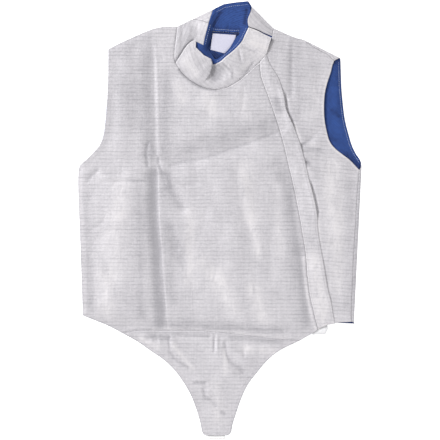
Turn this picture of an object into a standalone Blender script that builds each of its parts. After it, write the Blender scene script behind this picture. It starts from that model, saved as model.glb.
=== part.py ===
"""A sleeveless fencing lamé with its crotch strap, laid face up on a flat surface.

Every piece of cloth is a thin closed wall on a height over the surface it lies on.
Its outline is made of named curves, which neighbouring pieces share at their seams.
Tables are in millimetres: X to the wearer's left, Y towards the collar, Z up.
The origin is on the surface, under the middle of the whole garment's box.
"""
import math
from collections import namedtuple

import bmesh
import bpy
import numpy as np
from mathutils import Vector
from mathutils.geometry import delaunay_2d_cdt

MM = 0.001

# Cloth walls and the space between them
CLOTH = 1.2
LINING = 1.0
LABEL_WALL = 0.9
SEAM_GAP = 0.3
LAYER_GAP = 0.3
LINING_HEIGHT = CLOTH + LAYER_GAP
FRONT_HEIGHT = LINING_HEIGHT + LINING + LAYER_GAP
SEWN_HEIGHT = CLOTH + LAYER_GAP

# How far the back's lining ends inside the back's open, sewn and folded edges
LINING_OPEN_INSET = 0.8
LINING_SEWN_INSET = 13.0
LINING_FOLD_INSET = 3.5
LINING_INSET_FADE = 12.0
ON_THE_FOLD = 1.0

# How far the left front runs on under the placket's free edge, and where that strip stops
PLACKET_OVERLAP = 5.5
OVERLAP_END = 4.0

# How the laid front stands off the back
PUFF_HEIGHT = 2.1
PUFF_REACH = 34.0
SEWN_REACH = 6.0
HEM_START = 1.0
HEM_FADE = 14.0
RELIEF_MOST = 3.5
CREASE_RISE = 1.5
CREASE_WIDTH = 4.5
PLACKET_RISE = 1.7
PLACKET_ROOT = 10.0
LIFT_START = 4.0
LIFT_FADE = 14.0

# How the cloth passes over the thin tape and elastic under it
UNDER_MARGIN = 2.0
ZIP_FADE = 10.0
ELASTIC_FADE = 14.0

# Folds of the back and the collar over the garment's edge
SIDE_FOLD_RADIUS = (FRONT_HEIGHT + CLOTH) / 2
COLLAR_FOLD_RADIUS = 1.5
FOLD_STEPS = 4
FOLD_END_SLACK = 1.5
FOLD_SLACK = 0.1
FOLD_LAND = 8.0

# How finely the curves and each piece's cloth are cut up, and how near its lines a grid comes
CURVE_PARTS = 12
LONG_STEP = 11.0
SHORT_STEP = 6.0
BEND_STEP = 12.0
FRONT_GRID = 15.0
LEFT_FRONT_GRID = 13.0
CROTCH_GRID = 11.0
PLACKET_GRID = 10.0
COLLAR_BACK_GRID = 8.0
COLLAR_SIDE_GRID = 7.0
COLLAR_FRONT_GRID = 6.0
COLLAR_LINING_GRID = 7.0
NO_GRID = 0
GRID_CLEARANCE = 0.55

# Limits that keep sharp corners and steep slopes from throwing points far out
SHARPEST_CORNER = 0.8
STEEPEST_SLOPE = 1.8
SLOPE_REACH = 1.0
MERGE_DISTANCE = 1e-6

# Colours of the cloth, sRGB
SILVER = "D4D2D7"
BLUE = "38528C"
WHITE = "DEDDED"
ELASTIC_WHITE = "E8E6E7"

# Outlines. R is the wearer's right and L the wearer's left.
SHOULDER_R = [(-201, 307), (-180, 318), (-158, 328), (-133, 339), (-115, 345), (-97, 348), (-76.5, 348)]
ARMHOLE_R = [(-201, 307), (-201, 261), (-202.5, 219.5), (-205, 183.5), (-208.5, 155), (-216.5, 134.5),
             (-228.5, 120.5), (-241, 108.5), (-252, 98.5)]
SIDE_R = [(-252, 98.5), (-254.5, 87.5), (-255, 54), (-251.5, -36), (-247, -166)]
SIDE_HEM_R = [(-247, -166), (-247, -171.5)]
HEM_R = [(-247, -171.5), (-223, -181), (-199.5, -191), (-176, -203.5)]
CROTCH_SEAM = [(-176, -203.5), (-144, -199), (-93.5, -199), (-50, -199), (-6, -201.5), (40, -206.5),
               (86, -212.5), (120, -215.5), (144, -217)]
HEM_FRONT = [(144, -217), (155, -210.5), (166, -204), (176.5, -197)]
HEM_PLACKET = [(176.5, -197), (191, -189.5), (206.5, -186)]
HEM_L = [(201, -187), (214, -184.5), (236.5, -183)]
SIDE_SEAM_L = [(236.5, -183), (236.5, -163), (238, -126), (240, -75.5), (242.5, -36), (246.5, 36),
               (250.5, 90)]
ARMHOLE_L = [(250.5, 90), (241.5, 99.5), (231.5, 109.5), (220.5, 117.5), (208, 127.5), (197.5, 140.5),
             (192, 158.5), (188, 180), (187, 204.5), (188.5, 227), (193, 246.5), (199, 264.5),
             (202, 277), (205.5, 286)]
SHOULDER_SEAM_L = [(205.5, 286), (194.5, 296.5), (180.5, 304), (160.5, 316), (150, 324.5)]
SHOULDER_L = [(150, 324.5), (139, 327), (124.5, 332.5), (110, 339), (97, 344.5)]
BACK_ARMHOLE_L = [(255, 99), (252, 108.5), (244.5, 119.5), (237, 135.5), (230.5, 158), (225.5, 178),
                  (222.5, 198), (219, 234), (218, 259), (217, 291)]
BACK_HEM = [(-247, -166), (241, -185)]
SIDE_FOLD_L = [(255, 99), (241, -185)]
SHOULDER_FOLD_L = [(153, 323.5), (217, 291)]
BACK_NECK = [(-76.5, 348), (-50, 342.5), (-14, 339.5), (14.5, 338), (36, 336.5), (67, 336.5), (97, 344.5)]

NECK_SIDE = [(-76.5, 348), (-79, 327.5), (-81.5, 306), (-82, 291.5), (-80, 281)]
NECK_UNDER_FLAP = [(-80, 281), (-73, 271)]
NECK_FRONT = [(-73, 271), (-66.5, 262), (-53, 250.5), (-39, 242), (-23, 236), (-7, 234), (7.5, 236.5),
              (22, 242.5), (36, 252), (49, 263), (60.5, 274), (71.5, 283.5)]
NECK_PLACKET = [(71.5, 283.5), (83.5, 297.5)]
NECK_UNDER_TAB = [(79.5, 288), (81, 298), (86.5, 311.5), (92.5, 323)]
NECK_L = [(92.5, 323), (94, 329.5), (97, 344.5)]

PLACKET_SEAM = [(71.5, 283.5), (73.5, 259.5), (78, 245), (85.5, 225), (94, 201.5), (102, 178),
                (108.5, 157), (115.5, 131.5), (124, 94.5), (132, 61), (141.5, 14.5), (149.5, -32.5),
                (154.5, -65), (157, -99), (162, -137), (168.5, -165.5), (176.5, -197)]
PLACKET_EDGE = [(83.5, 297.5), (88.5, 283.5), (95, 272), (102.5, 260.5), (107.5, 250), (112, 235),
                (116, 218), (118.5, 200), (124.5, 185.5), (134, 164.5), (145.5, 133), (156, 92),
                (162, 65), (169.5, 36), (174.5, 9), (176.5, -20), (181, -48.5), (187, -83),
                (192.5, -117), (199.5, -146.5), (204.5, -173), (206.5, -186)]

STRAP_R = [(-176, -203.5), (-149, -218.5), (-126, -234.5), (-104, -249.5), (-90, -261.5), (-75.5, -278),
           (-61, -299.5), (-50, -320.5), (-42, -342), (-36, -362), (-32.5, -380)]
STRAP_END = [(-32.5, -380), (-29.5, -385), (-22.5, -388), (9.5, -387.5), (17.5, -385), (20.5, -380)]
STRAP_L = [(20.5, -380), (23, -367), (29, -348), (36.5, -326), (44.5, -307), (54, -290.5), (65.5, -276),
           (78, -260.5), (92.5, -246), (110, -233.5), (130, -223.5), (144, -217)]
ELASTIC = [(-21, -394), (9, -394), (9.5, -367), (-22, -367)]
ZIP_TAIL = [(166.5, -206.5), (190, -205), (194.5, -195.5), (193, -186.5), (165, -186.5)]

COLLAR_FOLD_R = [(-51, 360.4), (-11.5, 379.5)]
COLLAR_EDGE_R = [(-76.5, 348), (-51, 360.4)]
COLLAR_TOP = [(-11.5, 379.5), (7, 388.5), (25.5, 391.5), (51, 394), (57.5, 384)]
COLLAR_FOLD_L = [(57.5, 384), (95, 346.5)]
COLLAR_SEAM_R = [(-51, 360.4), (-37.5, 359.5), (-20, 353)]
RIDGE_R_BACK = [(-20, 353), (-16, 366), (-11.5, 379.5)]
RIDGE_R_SIDE = [(-20, 353), (-22, 344), (-26.5, 327.5), (-29.5, 313)]
RIDGE_R_END = [(-29.5, 313), (-42.5, 319.5)]
SIDE_UNDER_FLAP = [(-42.5, 319.5), (-46.5, 306), (-59, 289), (-73, 271)]
RIDGE_L_BACK = [(57.5, 384), (54.5, 373), (50, 359), (51.5, 345.5)]
RIDGE_L_FRONT = [(51.5, 345.5), (45.5, 333), (37.5, 318), (24.5, 304), (11.5, 293.5), (1, 284.5),
                 (-12.5, 279)]
TURN_UNDER_TAB = [(51.5, 345.5), (58, 336.5), (72, 328.5), (85, 323), (92.5, 323)]
FLAP_FOLD = [(-80, 281), (-68.5, 298.5), (-61, 310.5), (-54, 318), (-47.5, 322)]
FLAP_TOP = [(-47.5, 322), (-42.5, 319.5), (-43, 309.5), (-28.5, 295), (-15, 288), (-12.5, 279)]
LINING_UNDER_FLAP = [(-42.5, 319.5), (-44, 309), (-30.5, 293), (-17, 285.5), (-12.5, 279)]
TAB_TOP = [(51.5, 345.5), (67.5, 339.5), (78.5, 333.5), (93, 327)]
TAB_END = [(93, 327), (90, 318.5), (87, 308.5), (83.5, 297.5)]
NECK_HOLE = [(-13.5, 340.4), (-17, 324), (-21, 309.5), (-14, 297), (-7, 288.5), (6.5, 297.5), (18, 309.5),
             (27, 325), (35, 337.3), (14.5, 338.9)]
LINING_TOP = [(-8.5, 377.8), (7.5, 386.3), (26, 389.6), (50.3, 391.8), (55.3, 382.5), (54, 375)]
LABEL = [(-17, 306), (24.5, 295), (29, 332.5), (-13, 335.5)]

# The pressed crease down the wearer's right front
CREASE = [(-117, 327.5), (-114, 288), (-112, 216), (-112, 144), (-113, 72), (-110.5, 0), (-105.5, -90),
          (-99, -198)]

Fold = namedtuple("Fold", "x0 y0 x1 y1 width height")
Mark = namedtuple("Mark", "x y height")

# Troughs and swells of the front, each along a line
FRONT_FOLDS = [
    Fold(-126, 72, -122, -184, 9, -1.6),
    Fold(-102, 284, -101, 126, 8, -1.1),
    Fold(-93, 112, 137, 155, 9, -1.5),
    Fold(-86, 90, 117, 122, 13, 0.9),
    Fold(121, 63, 128, -184, 10, -1.7),
    Fold(-185, 45, -191, -153, 26, 1.2),
    Fold(15, 54, 33, -176, 22, 1.0),
    Fold(-61, 81, -68, -144, 16, 0.8),
    Fold(213, 63, 211, -144, 15, 0.9),
    Fold(128, 320, 130, 230, 7, -1.3),
    Fold(-27, 212, -43, 158, 16, 0.8),
    Fold(-171, 270, -176, 162, 20, 0.9),
    Fold(159, 270, 162, 180, 18, 0.8),
    Fold(-241, 90, -216, 65, 6, -0.9),
    Fold(-142, 126, -126, 99, 5, -0.8),
    Fold(-81, -176, 144, -191, 6, -0.7),
]
# Where the placket's free edge stands up
PLACKET_LIFTS = [
    Fold(116, 236, 126, 184, 12, 2.2),
    Fold(160, 66, 177, 10, 12, 2.2),
    Fold(186, -80, 198, -140, 14, 0.8),
]
CROTCH_FOLDS = [
    Fold(-153, -201, 137, -215, 6, 0.7),
    Fold(-52, -205, -43, -229, 5, 0.9),
    Fold(-36, -209, -12, -245, 6, 1.1),
    Fold(-115, -209, -97, -245, 7, 0.8),
    Fold(-32, -299, -25, -320, 6, 0.9),
    Fold(-54, -274, 4, -335, 9, 0.6),
    Fold(-11, -256, -7, -346, 18, 0.9),
]

# Heights of the collar's cloth, at the underside of each wall
SIDE_MARKS = [
    Mark(-76, 347, 2.0), Mark(-80, 324, 3.0), Mark(-80, 302, 3.0), Mark(-79, 283, 2.9),
    Mark(-64, 354, 2.0), Mark(-51, 360, 1.9), Mark(-31, 370, 1.9), Mark(-12, 379, 2.0),
    Mark(-66, 342, 4.6), Mark(-70, 320, 5.8), Mark(-70, 302, 5.0), Mark(-50, 338, 8.0),
    Mark(-37, 354, 7.0), Mark(-36, 331, 10.2), Mark(-17, 365, 6.8), Mark(-20, 353, 10.2),
    Mark(-22, 342, 11.4), Mark(-26, 328, 11.4), Mark(-30, 314, 9.8), Mark(-41, 318, 8.0),
    Mark(-54, 311, 6.0), Mark(-65, 289, 4.2), Mark(-46, 306, 6.6),
]
TURN_MARKS = [
    Mark(57, 384, 2.0), Mark(77, 364, 1.9), Mark(97, 345, 2.2), Mark(54, 373, 4.0),
    Mark(50, 359, 6.4), Mark(51, 346, 8.0), Mark(58, 337, 7.6), Mark(72, 329, 6.4),
    Mark(85, 323, 4.6), Mark(92, 323, 3.9), Mark(94, 330, 3.2), Mark(70, 350, 5.2),
]
COLLAR_MARKS = [
    Mark(-79, 282, 4.8), Mark(-66, 262, 4.0), Mark(-39, 242, 4.0), Mark(-7, 234, 4.0),
    Mark(22, 242, 4.0), Mark(49, 263, 4.2), Mark(72, 284, 4.8), Mark(84, 297, 6.2),
    Mark(-63, 271, 9.0), Mark(-48, 258, 10.5), Mark(-34, 250, 11.0), Mark(-20, 246, 10.0),
    Mark(-5, 244, 8.4), Mark(9, 248, 8.4), Mark(24, 256, 9.2), Mark(38, 266, 9.5),
    Mark(-69, 298, 8.6), Mark(-54, 318, 9.6), Mark(-47, 322, 10.0), Mark(-43, 310, 11.6),
    Mark(-29, 295, 14.0), Mark(-15, 287, 15.2), Mark(-36, 272, 14.2), Mark(-21, 268, 15.2),
    Mark(-24, 255, 13.0), Mark(-12, 278, 10.5), Mark(-10, 268, 7.4), Mark(-11, 256, 7.0),
    Mark(0, 264, 7.2), Mark(10, 258, 8.2), Mark(3, 281, 10.4), Mark(16, 272, 11.2),
    Mark(11, 292, 11.6), Mark(24, 304, 12.0), Mark(45, 333, 11.6), Mark(51, 345, 10.6),
    Mark(54, 311, 11.6), Mark(67, 339, 10.0), Mark(93, 327, 8.4), Mark(87, 309, 7.2),
]
LINING_MARKS = [
    Mark(-11, 378, 3.2), Mark(7, 386, 1.5), Mark(27, 389, 1.5), Mark(50, 391, 1.5), Mark(56, 383, 2.2),
    Mark(43, 371, 1.5), Mark(36, 353, 1.5), Mark(15, 342, 1.5), Mark(5, 360, 1.5), Mark(-15, 366, 6.6),
    Mark(-19, 353, 9.6), Mark(-22, 342, 11.2), Mark(-26, 328, 11.2), Mark(-29, 314, 9.8),
    Mark(-14, 338, 3.8), Mark(-17, 324, 4.4), Mark(-21, 310, 4.6), Mark(-41, 317, 8.0),
    Mark(-29, 300, 6.2), Mark(-14, 288, 5.6), Mark(-12, 280, 6.6), Mark(54, 373, 4.0),
    Mark(50, 359, 6.4), Mark(51, 346, 8.2), Mark(45, 333, 10.2), Mark(37, 318, 10.8),
    Mark(24, 304, 10.6), Mark(11, 293, 10.0), Mark(1, 285, 8.8), Mark(33, 337, 3.9),
    Mark(27, 325, 4.5), Mark(18, 310, 4.7), Mark(6, 298, 4.7), Mark(-7, 289, 4.6),
]


def smooth_curve(points, step):
    """Points every step mm along a Catmull-Rom curve through the table's points."""
    if len(points) == 2:
        return straight(points, step)
    first = 2 * np.array(points[0], dtype=float) - points[1]
    last = 2 * np.array(points[-1], dtype=float) - points[-2]
    knots = np.array([first, *points, last], dtype=float)
    fine = []
    for i in range(1, len(knots) - 2):
        p0, p1, p2, p3 = knots[i - 1:i + 3]
        for t in np.linspace(0, 1, CURVE_PARTS, endpoint=False):
            fine.append(0.5 * (2 * p1 + (p2 - p0) * t + (2 * p0 - 5 * p1 + 4 * p2 - p3) * t ** 2
                               + (3 * p1 - p0 - 3 * p2 + p3) * t ** 3))
    fine.append(knots[-2])
    return straight(fine, step)


def straight(points, step):
    """Points every step mm along a run of straight lines, its two ends kept."""
    points = np.array(points, dtype=float)
    run = np.concatenate([[0], np.cumsum(np.linalg.norm(np.diff(points, axis=0), axis=1))])
    count = max(1, round(run[-1] / step))
    at = np.linspace(0, run[-1], count + 1)
    return np.column_stack([np.interp(at, run, points[:, 0]), np.interp(at, run, points[:, 1])])


def cornered(points, step):
    """Straight lines between the table's points, each corner kept."""
    runs = [straight(pair, step)[:-1] for pair in zip(points[:-1], points[1:])]
    return np.concatenate([*runs, [points[-1]]])


def joined(*runs):
    """One closed outline from runs that end where the next begins."""
    loop = np.concatenate([run[:-1] for run in runs])
    x, y = loop.T
    area = np.sum(x * np.roll(y, -1) - np.roll(x, -1) * y)
    return loop if area > 0 else loop[::-1]


def back(run):
    return run[::-1]


def inset(loop, amount):
    """An anticlockwise outline moved inwards by the amount."""
    before = loop - np.roll(loop, 1, axis=0)
    after = np.roll(loop, -1, axis=0) - loop
    before /= np.linalg.norm(before, axis=1)[:, None]
    after /= np.linalg.norm(after, axis=1)[:, None]
    inward = np.column_stack([-(before + after)[:, 1], (before + after)[:, 0]])
    length = np.maximum(np.linalg.norm(inward, axis=1), SHARPEST_CORNER)
    return loop + inward * (2 * amount / length ** 2)[:, None]


def shifted(run, amount):
    """A run moved to its left by the amount."""
    along = np.gradient(run, axis=0)
    along /= np.linalg.norm(along, axis=1)[:, None]
    return run + amount * np.column_stack([-along[:, 1], along[:, 0]])


def distance_to_line(x, y, a, b):
    """Distance from each point to the line between a and b."""
    ax, ay = a
    dx, dy = b[0] - ax, b[1] - ay
    t = np.clip(((x - ax) * dx + (y - ay) * dy) / (dx * dx + dy * dy), 0, 1)
    return np.hypot(x - ax - t * dx, y - ay - t * dy)


def distance_to_run(x, y, run):
    return np.min([distance_to_line(x, y, a, b) for a, b in zip(run[:-1], run[1:])], axis=0)


def nearest(x, y, *runs):
    """Distance to the nearest of several runs."""
    return np.min([distance_to_run(x, y, run) for run in runs], axis=0)


def inside(x, y, loop):
    """Which points lie inside a closed outline."""
    within = np.zeros(len(x), dtype=bool)
    for (ax, ay), (bx, by) in zip(loop, np.roll(loop, -1, axis=0)):
        if ay != by:
            crosses = (ay > y) != (by > y)
            within ^= crosses & (x < ax + (y - ay) * (bx - ax) / (by - ay))
    return within


def ease(t):
    t = np.clip(t, 0, 1)
    return t * t * (3 - 2 * t)


def folds_at(x, y, folds):
    """The sum of the troughs and swells, each a soft bell across its line."""
    total = np.zeros_like(x)
    for fold in folds:
        away = distance_to_line(x, y, (fold.x0, fold.y0), (fold.x1, fold.y1))
        total += fold.height * np.exp(-(away / fold.width) ** 2)
    return total


def surface_through(marks, lowest):
    """A thin-plate surface that passes through the marks and goes no lower than the lowest height."""
    at = np.array([(m.x, m.y) for m in marks], dtype=float)
    heights = np.array([m.height for m in marks])
    count = len(marks)

    def bend(distance):
        return np.where(distance > 0, distance ** 2 * np.log(np.maximum(distance, 1e-9)), 0.0)

    system = np.zeros((count + 3, count + 3))
    system[:count, :count] = bend(np.linalg.norm(at[:, None] - at[None], axis=2))
    system[:count, count] = 1
    system[:count, count + 1:] = at
    system[count:, :count] = system[:count, count:].T
    weights = np.linalg.solve(system, np.concatenate([heights, [0, 0, 0]]))

    def height(x, y):
        away = np.hypot(x[:, None] - at[:, 0], y[:, None] - at[:, 1])
        plane = weights[count] + weights[count + 1] * x + weights[count + 2] * y
        return np.maximum(bend(away) @ weights[:count] + plane, lowest)

    return height


def over_box(x, y, loop, rise, fade):
    """A lift over the box of a thin piece that lies below."""
    (x0, y0), (x1, y1) = np.min(loop, axis=0) - UNDER_MARGIN, np.max(loop, axis=0) + UNDER_MARGIN
    outside = np.hypot(np.maximum(np.maximum(x0 - x, x - x1), 0), np.maximum(np.maximum(y0 - y, y - y1), 0))
    return rise * (1 - ease(outside / fade))


class Lines:
    """The named curves, sampled once, so that pieces that share a seam match."""

    def __init__(self, long, short):
        self.shoulder_r = smooth_curve(SHOULDER_R, long)
        self.armhole_r = smooth_curve(ARMHOLE_R, long)
        self.side_r = smooth_curve(SIDE_R, 2 * long)
        self.side_hem_r = straight(SIDE_HEM_R, long)
        self.hem_r = smooth_curve(HEM_R, long)
        self.crotch_seam = smooth_curve(CROTCH_SEAM, long)
        self.hem_front = smooth_curve(HEM_FRONT, long)
        self.hem_placket = smooth_curve(HEM_PLACKET, long)
        self.hem_l = smooth_curve(HEM_L, long)
        self.side_seam_l = smooth_curve(SIDE_SEAM_L, long)
        self.armhole_l = smooth_curve(ARMHOLE_L, long)
        self.shoulder_seam_l = smooth_curve(SHOULDER_SEAM_L, long)
        self.shoulder_l = smooth_curve(SHOULDER_L, long)
        self.back_armhole_l = smooth_curve(BACK_ARMHOLE_L, long)
        self.back_hem = straight(BACK_HEM, 2 * long)
        self.back_neck = smooth_curve(BACK_NECK, short)
        self.neck_side = smooth_curve(NECK_SIDE, short)
        self.neck_under_flap = straight(NECK_UNDER_FLAP, short)
        self.neck_front = smooth_curve(NECK_FRONT, short)
        self.neck_placket = straight(NECK_PLACKET, short)
        self.neck_under_tab = smooth_curve(NECK_UNDER_TAB, short)
        self.neck_l = smooth_curve(NECK_L, short)
        self.placket_seam = smooth_curve(PLACKET_SEAM, long)
        self.placket_edge = smooth_curve(PLACKET_EDGE, long)
        self.strap_r = smooth_curve(STRAP_R, long)
        self.strap_end = smooth_curve(STRAP_END, short)
        self.strap_l = smooth_curve(STRAP_L, long)
        self.collar_edge_r = straight(COLLAR_EDGE_R, short)
        self.collar_top = cornered(COLLAR_TOP, short)
        self.collar_seam_r = smooth_curve(COLLAR_SEAM_R, short)
        self.ridge_r_back = smooth_curve(RIDGE_R_BACK, short)
        self.ridge_r_side = smooth_curve(RIDGE_R_SIDE, short)
        self.ridge_r_end = straight(RIDGE_R_END, short)
        self.side_under_flap = smooth_curve(SIDE_UNDER_FLAP, short)
        self.ridge_l_back = smooth_curve(RIDGE_L_BACK, short)
        self.ridge_l_front = smooth_curve(RIDGE_L_FRONT, short)
        self.turn_under_tab = smooth_curve(TURN_UNDER_TAB, short)
        self.flap_fold = smooth_curve(FLAP_FOLD, short)
        self.flap_top = cornered(FLAP_TOP, short)
        self.lining_under_flap = cornered(LINING_UNDER_FLAP, short)
        self.tab_top = smooth_curve(TAB_TOP, short)
        self.tab_end = smooth_curve(TAB_END, short)
        self.neck_hole = smooth_curve(NECK_HOLE, short)
        self.crease = smooth_curve(CREASE, long)


LINE = Lines(long=LONG_STEP, short=SHORT_STEP)


def back_hem_distance(x, y):
    """How far a point lies below the back's hem."""
    (ax, ay), (bx, by) = BACK_HEM
    length = math.hypot(bx - ax, by - ay)
    return ((x - ax) * (by - ay) - (y - ay) * (bx - ax)) / length


def front_height(x, y):
    """The underside of the front, over the back and beyond its hem."""
    base = FRONT_HEIGHT * (1 - ease((back_hem_distance(x, y) - HEM_START) / HEM_FADE))
    base = np.maximum(base, over_box(x, y, ZIP_TAIL, LINING + LAYER_GAP, ZIP_FADE))
    sewn = nearest(x, y, LINE.side_r, LINE.shoulder_r, LINE.shoulder_l)
    held = np.minimum(sewn, nearest(x, y, LINE.side_seam_l, LINE.shoulder_seam_l, LINE.hem_r,
                                    LINE.crotch_seam, LINE.hem_front, LINE.hem_l))
    pressed = CREASE_RISE * np.exp(-(distance_to_run(x, y, LINE.crease) / CREASE_WIDTH) ** 2)
    relief = PUFF_HEIGHT + folds_at(x, y, FRONT_FOLDS) + pressed
    relief *= 1 - np.exp(-(held / PUFF_REACH) ** 2)
    drop = (FRONT_HEIGHT - SEWN_HEIGHT) * np.exp(-(sewn / SEWN_REACH) ** 2)
    return np.maximum(base - drop, 0) + np.clip(relief, 0, RELIEF_MOST)


def placket_height(x, y):
    """The placket starts level with the front at its seam and lies over the left front at its edge."""
    away = distance_to_run(x, y, LINE.placket_seam)
    lifts = folds_at(x, y, PLACKET_LIFTS) * ease((away - LIFT_START) / LIFT_FADE)
    return front_height(x, y) + PLACKET_RISE * ease(away / PLACKET_ROOT) + lifts


def crotch_height(x, y):
    over_elastic = over_box(x, y, ELASTIC, LINING + LAYER_GAP, ELASTIC_FADE)
    return np.maximum(folds_at(x, y, CROTCH_FOLDS), over_elastic)


def flat_at(level):
    return lambda x, y: np.full_like(x, level)


side_height = surface_through(SIDE_MARKS, lowest=2 * COLLAR_FOLD_RADIUS - CLOTH)
turn_height = surface_through(TURN_MARKS, lowest=2 * COLLAR_FOLD_RADIUS - CLOTH)
collar_height = surface_through(COLLAR_MARKS, lowest=FRONT_HEIGHT + CLOTH)
collar_lining_height = surface_through(LINING_MARKS, lowest=LINING_HEIGHT)


class FoldOver:
    """A straight fold, where the cloth turns up round the garment's edge and back over itself.

    The flat pattern runs on past the fold, and place() bends it. The inside is on the right
    hand of the line from start to end.
    """

    def __init__(self, line, radius, height):
        (ax, ay), (bx, by) = line
        self.length = math.hypot(bx - ax, by - ay)
        self.along = np.array([bx - ax, by - ay]) / self.length
        self.out = np.array([-self.along[1], self.along[0]])
        self.radius = radius
        self.start = np.array([ax, ay]) - self.out * radius
        self.height = height

    def parts(self, points):
        away = np.asarray(points) - self.start
        return away @ self.along, away @ self.out

    def unfold(self, seen):
        """The flat pattern's points for points seen on the turned cloth."""
        along, out = self.parts(seen)
        turned = math.pi * self.radius - out
        return self.start + along[:, None] * self.along + turned[:, None] * self.out

    def bends(self):
        """Lines of the flat pattern along the bend."""
        for i in range(FOLD_STEPS + 1):
            shift = self.out * (math.pi * self.radius * i / FOLD_STEPS)
            ends = [self.start + shift, self.start + shift + self.along * self.length]
            yield straight(ends, BEND_STEP)

    def place(self, flat, spots, depth):
        """Moves the spots whose place in the flat pattern is past the fold."""
        along, out = self.parts(flat)
        full_turn = math.pi * self.radius
        beside = (along > -FOLD_END_SLACK) & (along < self.length + FOLD_END_SLACK)
        turned = (out > full_turn - FOLD_SLACK) | (beside & (out > 0))
        angle = out / self.radius
        bend = turned & (out < full_turn)
        foot = self.start + along[:, None] * self.along
        arm = self.radius - depth
        spots[bend, :2] = (foot + (arm * np.sin(angle))[:, None] * self.out)[bend]
        spots[bend, 2] = (self.radius - arm * np.cos(angle))[bend]
        flat_on = turned & ~bend
        back_by = out - full_turn
        seen = foot - back_by[:, None] * self.out
        rise = self.height(seen[:, 0], seen[:, 1]) + CLOTH - 2 * self.radius
        spots[flat_on, :2] = seen[flat_on]
        level = 2 * self.radius - depth + rise * ease(back_by / FOLD_LAND)
        spots[flat_on, 2] = level[flat_on]


def pattern(loop, grid, lines, hole):
    """Triangles over an outline: its own points, those of its lines, and a grid inside."""
    chains = [(loop, True)] + [(line, False) for line in lines]
    if hole is not None:
        chains.append((hole, True))
    points, edges = [], []
    for chain, closed in chains:
        first = len(points)
        points.extend(chain)
        edges.extend((first + i, first + i + 1) for i in range(len(chain) - 1))
        if closed:
            edges.append((first + len(chain) - 1, first))
    if grid:
        (x0, y0), (x1, y1) = loop.min(axis=0), loop.max(axis=0)
        rows, columns = int((y1 - y0) / grid) + 1, int((x1 - x0) / grid) + 1
        gx, gy = np.meshgrid(x0 + grid * (np.arange(columns) + 0.5), y0 + grid * (np.arange(rows) + 0.5))
        gx[1::2] += grid / 2
        gx, gy = gx.ravel(), gy.ravel()
        clear = inside(gx, gy, loop)
        for chain, closed in chains:
            run = np.concatenate([chain, chain[:1]]) if closed else chain
            clear &= distance_to_run(gx, gy, run) > GRID_CLEARANCE * grid
        points.extend(np.column_stack([gx, gy])[clear])
    result = delaunay_2d_cdt([Vector(p) for p in points], edges, [], 0, 1e-5)
    flat = np.array([tuple(v) for v in result[0]])
    faces = np.array([face for face in result[2] if len(face) == 3])
    middle = flat[faces].mean(axis=1)
    keep = inside(middle[:, 0], middle[:, 1], loop)
    if hole is not None:
        keep &= ~inside(middle[:, 0], middle[:, 1], hole)
    faces = faces[keep]
    used, faces = np.unique(faces, return_inverse=True)
    flat, faces = flat[used], faces.reshape(-1, 3)
    (ax, ay), (bx, by), (cx, cy) = (flat[faces[:, i]].T for i in range(3))
    clockwise = (bx - ax) * (cy - ay) - (by - ay) * (cx - ax) < 0
    faces[clockwise] = faces[clockwise][:, ::-1]
    return flat, faces


def steepness(height, x, y):
    """How much longer a vertical cut through a sloping wall is than its thickness."""
    dx = (height(x + SLOPE_REACH, y) - height(x - SLOPE_REACH, y)) / (2 * SLOPE_REACH)
    dy = (height(x, y + SLOPE_REACH) - height(x, y - SLOPE_REACH)) / (2 * SLOPE_REACH)
    return np.minimum(np.sqrt(1 + dx ** 2 + dy ** 2), STEEPEST_SLOPE)


def cloth(name, loop, height, wall, grid, material, lines=(), hole=None, folds=()):
    """A piece of cloth: a closed wall over the outline, standing on its height."""
    bends = [line for fold in folds for line in fold.bends()]
    flat, faces = pattern(inset(loop, SEAM_GAP / 2), grid, [*lines, *bends], hole)
    x, y = flat.T
    low = np.column_stack([x, y, height(x, y)])
    high = low + np.column_stack([0 * x, 0 * x, wall * steepness(height, x, y)])
    for fold in folds:
        fold.place(flat, low, np.zeros(len(x)))
        fold.place(flat, high, np.full(len(x), wall))
    count = len(flat)
    walls = [tuple(face + count) for face in faces] + [tuple(face[::-1]) for face in faces]
    sides = {(face[i], face[(i + 1) % 3]) for face in faces for i in range(3)}
    for a, b in sorted(sides):
        if (b, a) not in sides:
            walls += [(a, b, b + count), (a, b + count, a + count)]
    mesh = bpy.data.meshes.new(name)
    mesh.from_pydata((np.concatenate([low, high]) * MM).tolist(), [], [[int(i) for i in w] for w in walls])
    body = bmesh.new()
    body.from_mesh(mesh)
    bmesh.ops.remove_doubles(body, verts=body.verts, dist=MERGE_DISTANCE)
    body.to_mesh(mesh)
    body.free()
    mesh.materials.append(material)
    piece = bpy.data.objects.new(name, mesh)
    bpy.context.scene.collection.objects.link(piece)
    return piece


def cloth_material(name, colour, roughness):
    """A matt cloth in one colour, given as sRGB hex."""
    parts = [int(colour[i:i + 2], 16) / 255 for i in (0, 2, 4)]
    linear = [part / 12.92 if part <= 0.04045 else ((part + 0.055) / 1.055) ** 2.4 for part in parts]
    material = bpy.data.materials.new(name)
    material.use_nodes = True
    shader = material.node_tree.nodes["Principled BSDF"]
    shader.inputs["Base Color"].default_value = (*linear, 1)
    shader.inputs["Roughness"].default_value = roughness
    shader.inputs["Metallic"].default_value = 0.0
    return material


def silver_cloth(name):
    return cloth_material(name + "_cloth", SILVER, 0.6)


def back_outline():
    """The back's outline as it lies, its turned edges left out."""
    return joined(back(LINE.shoulder_r), LINE.armhole_r, LINE.side_r, LINE.back_hem,
                  straight(SIDE_FOLD_L[::-1], LONG_STEP), LINE.back_armhole_l,
                  straight(SHOULDER_FOLD_L[::-1], LONG_STEP),
                  np.array([SHOULDER_FOLD_L[0], SHOULDER_L[0]]), LINE.shoulder_l, back(LINE.back_neck))


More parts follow.
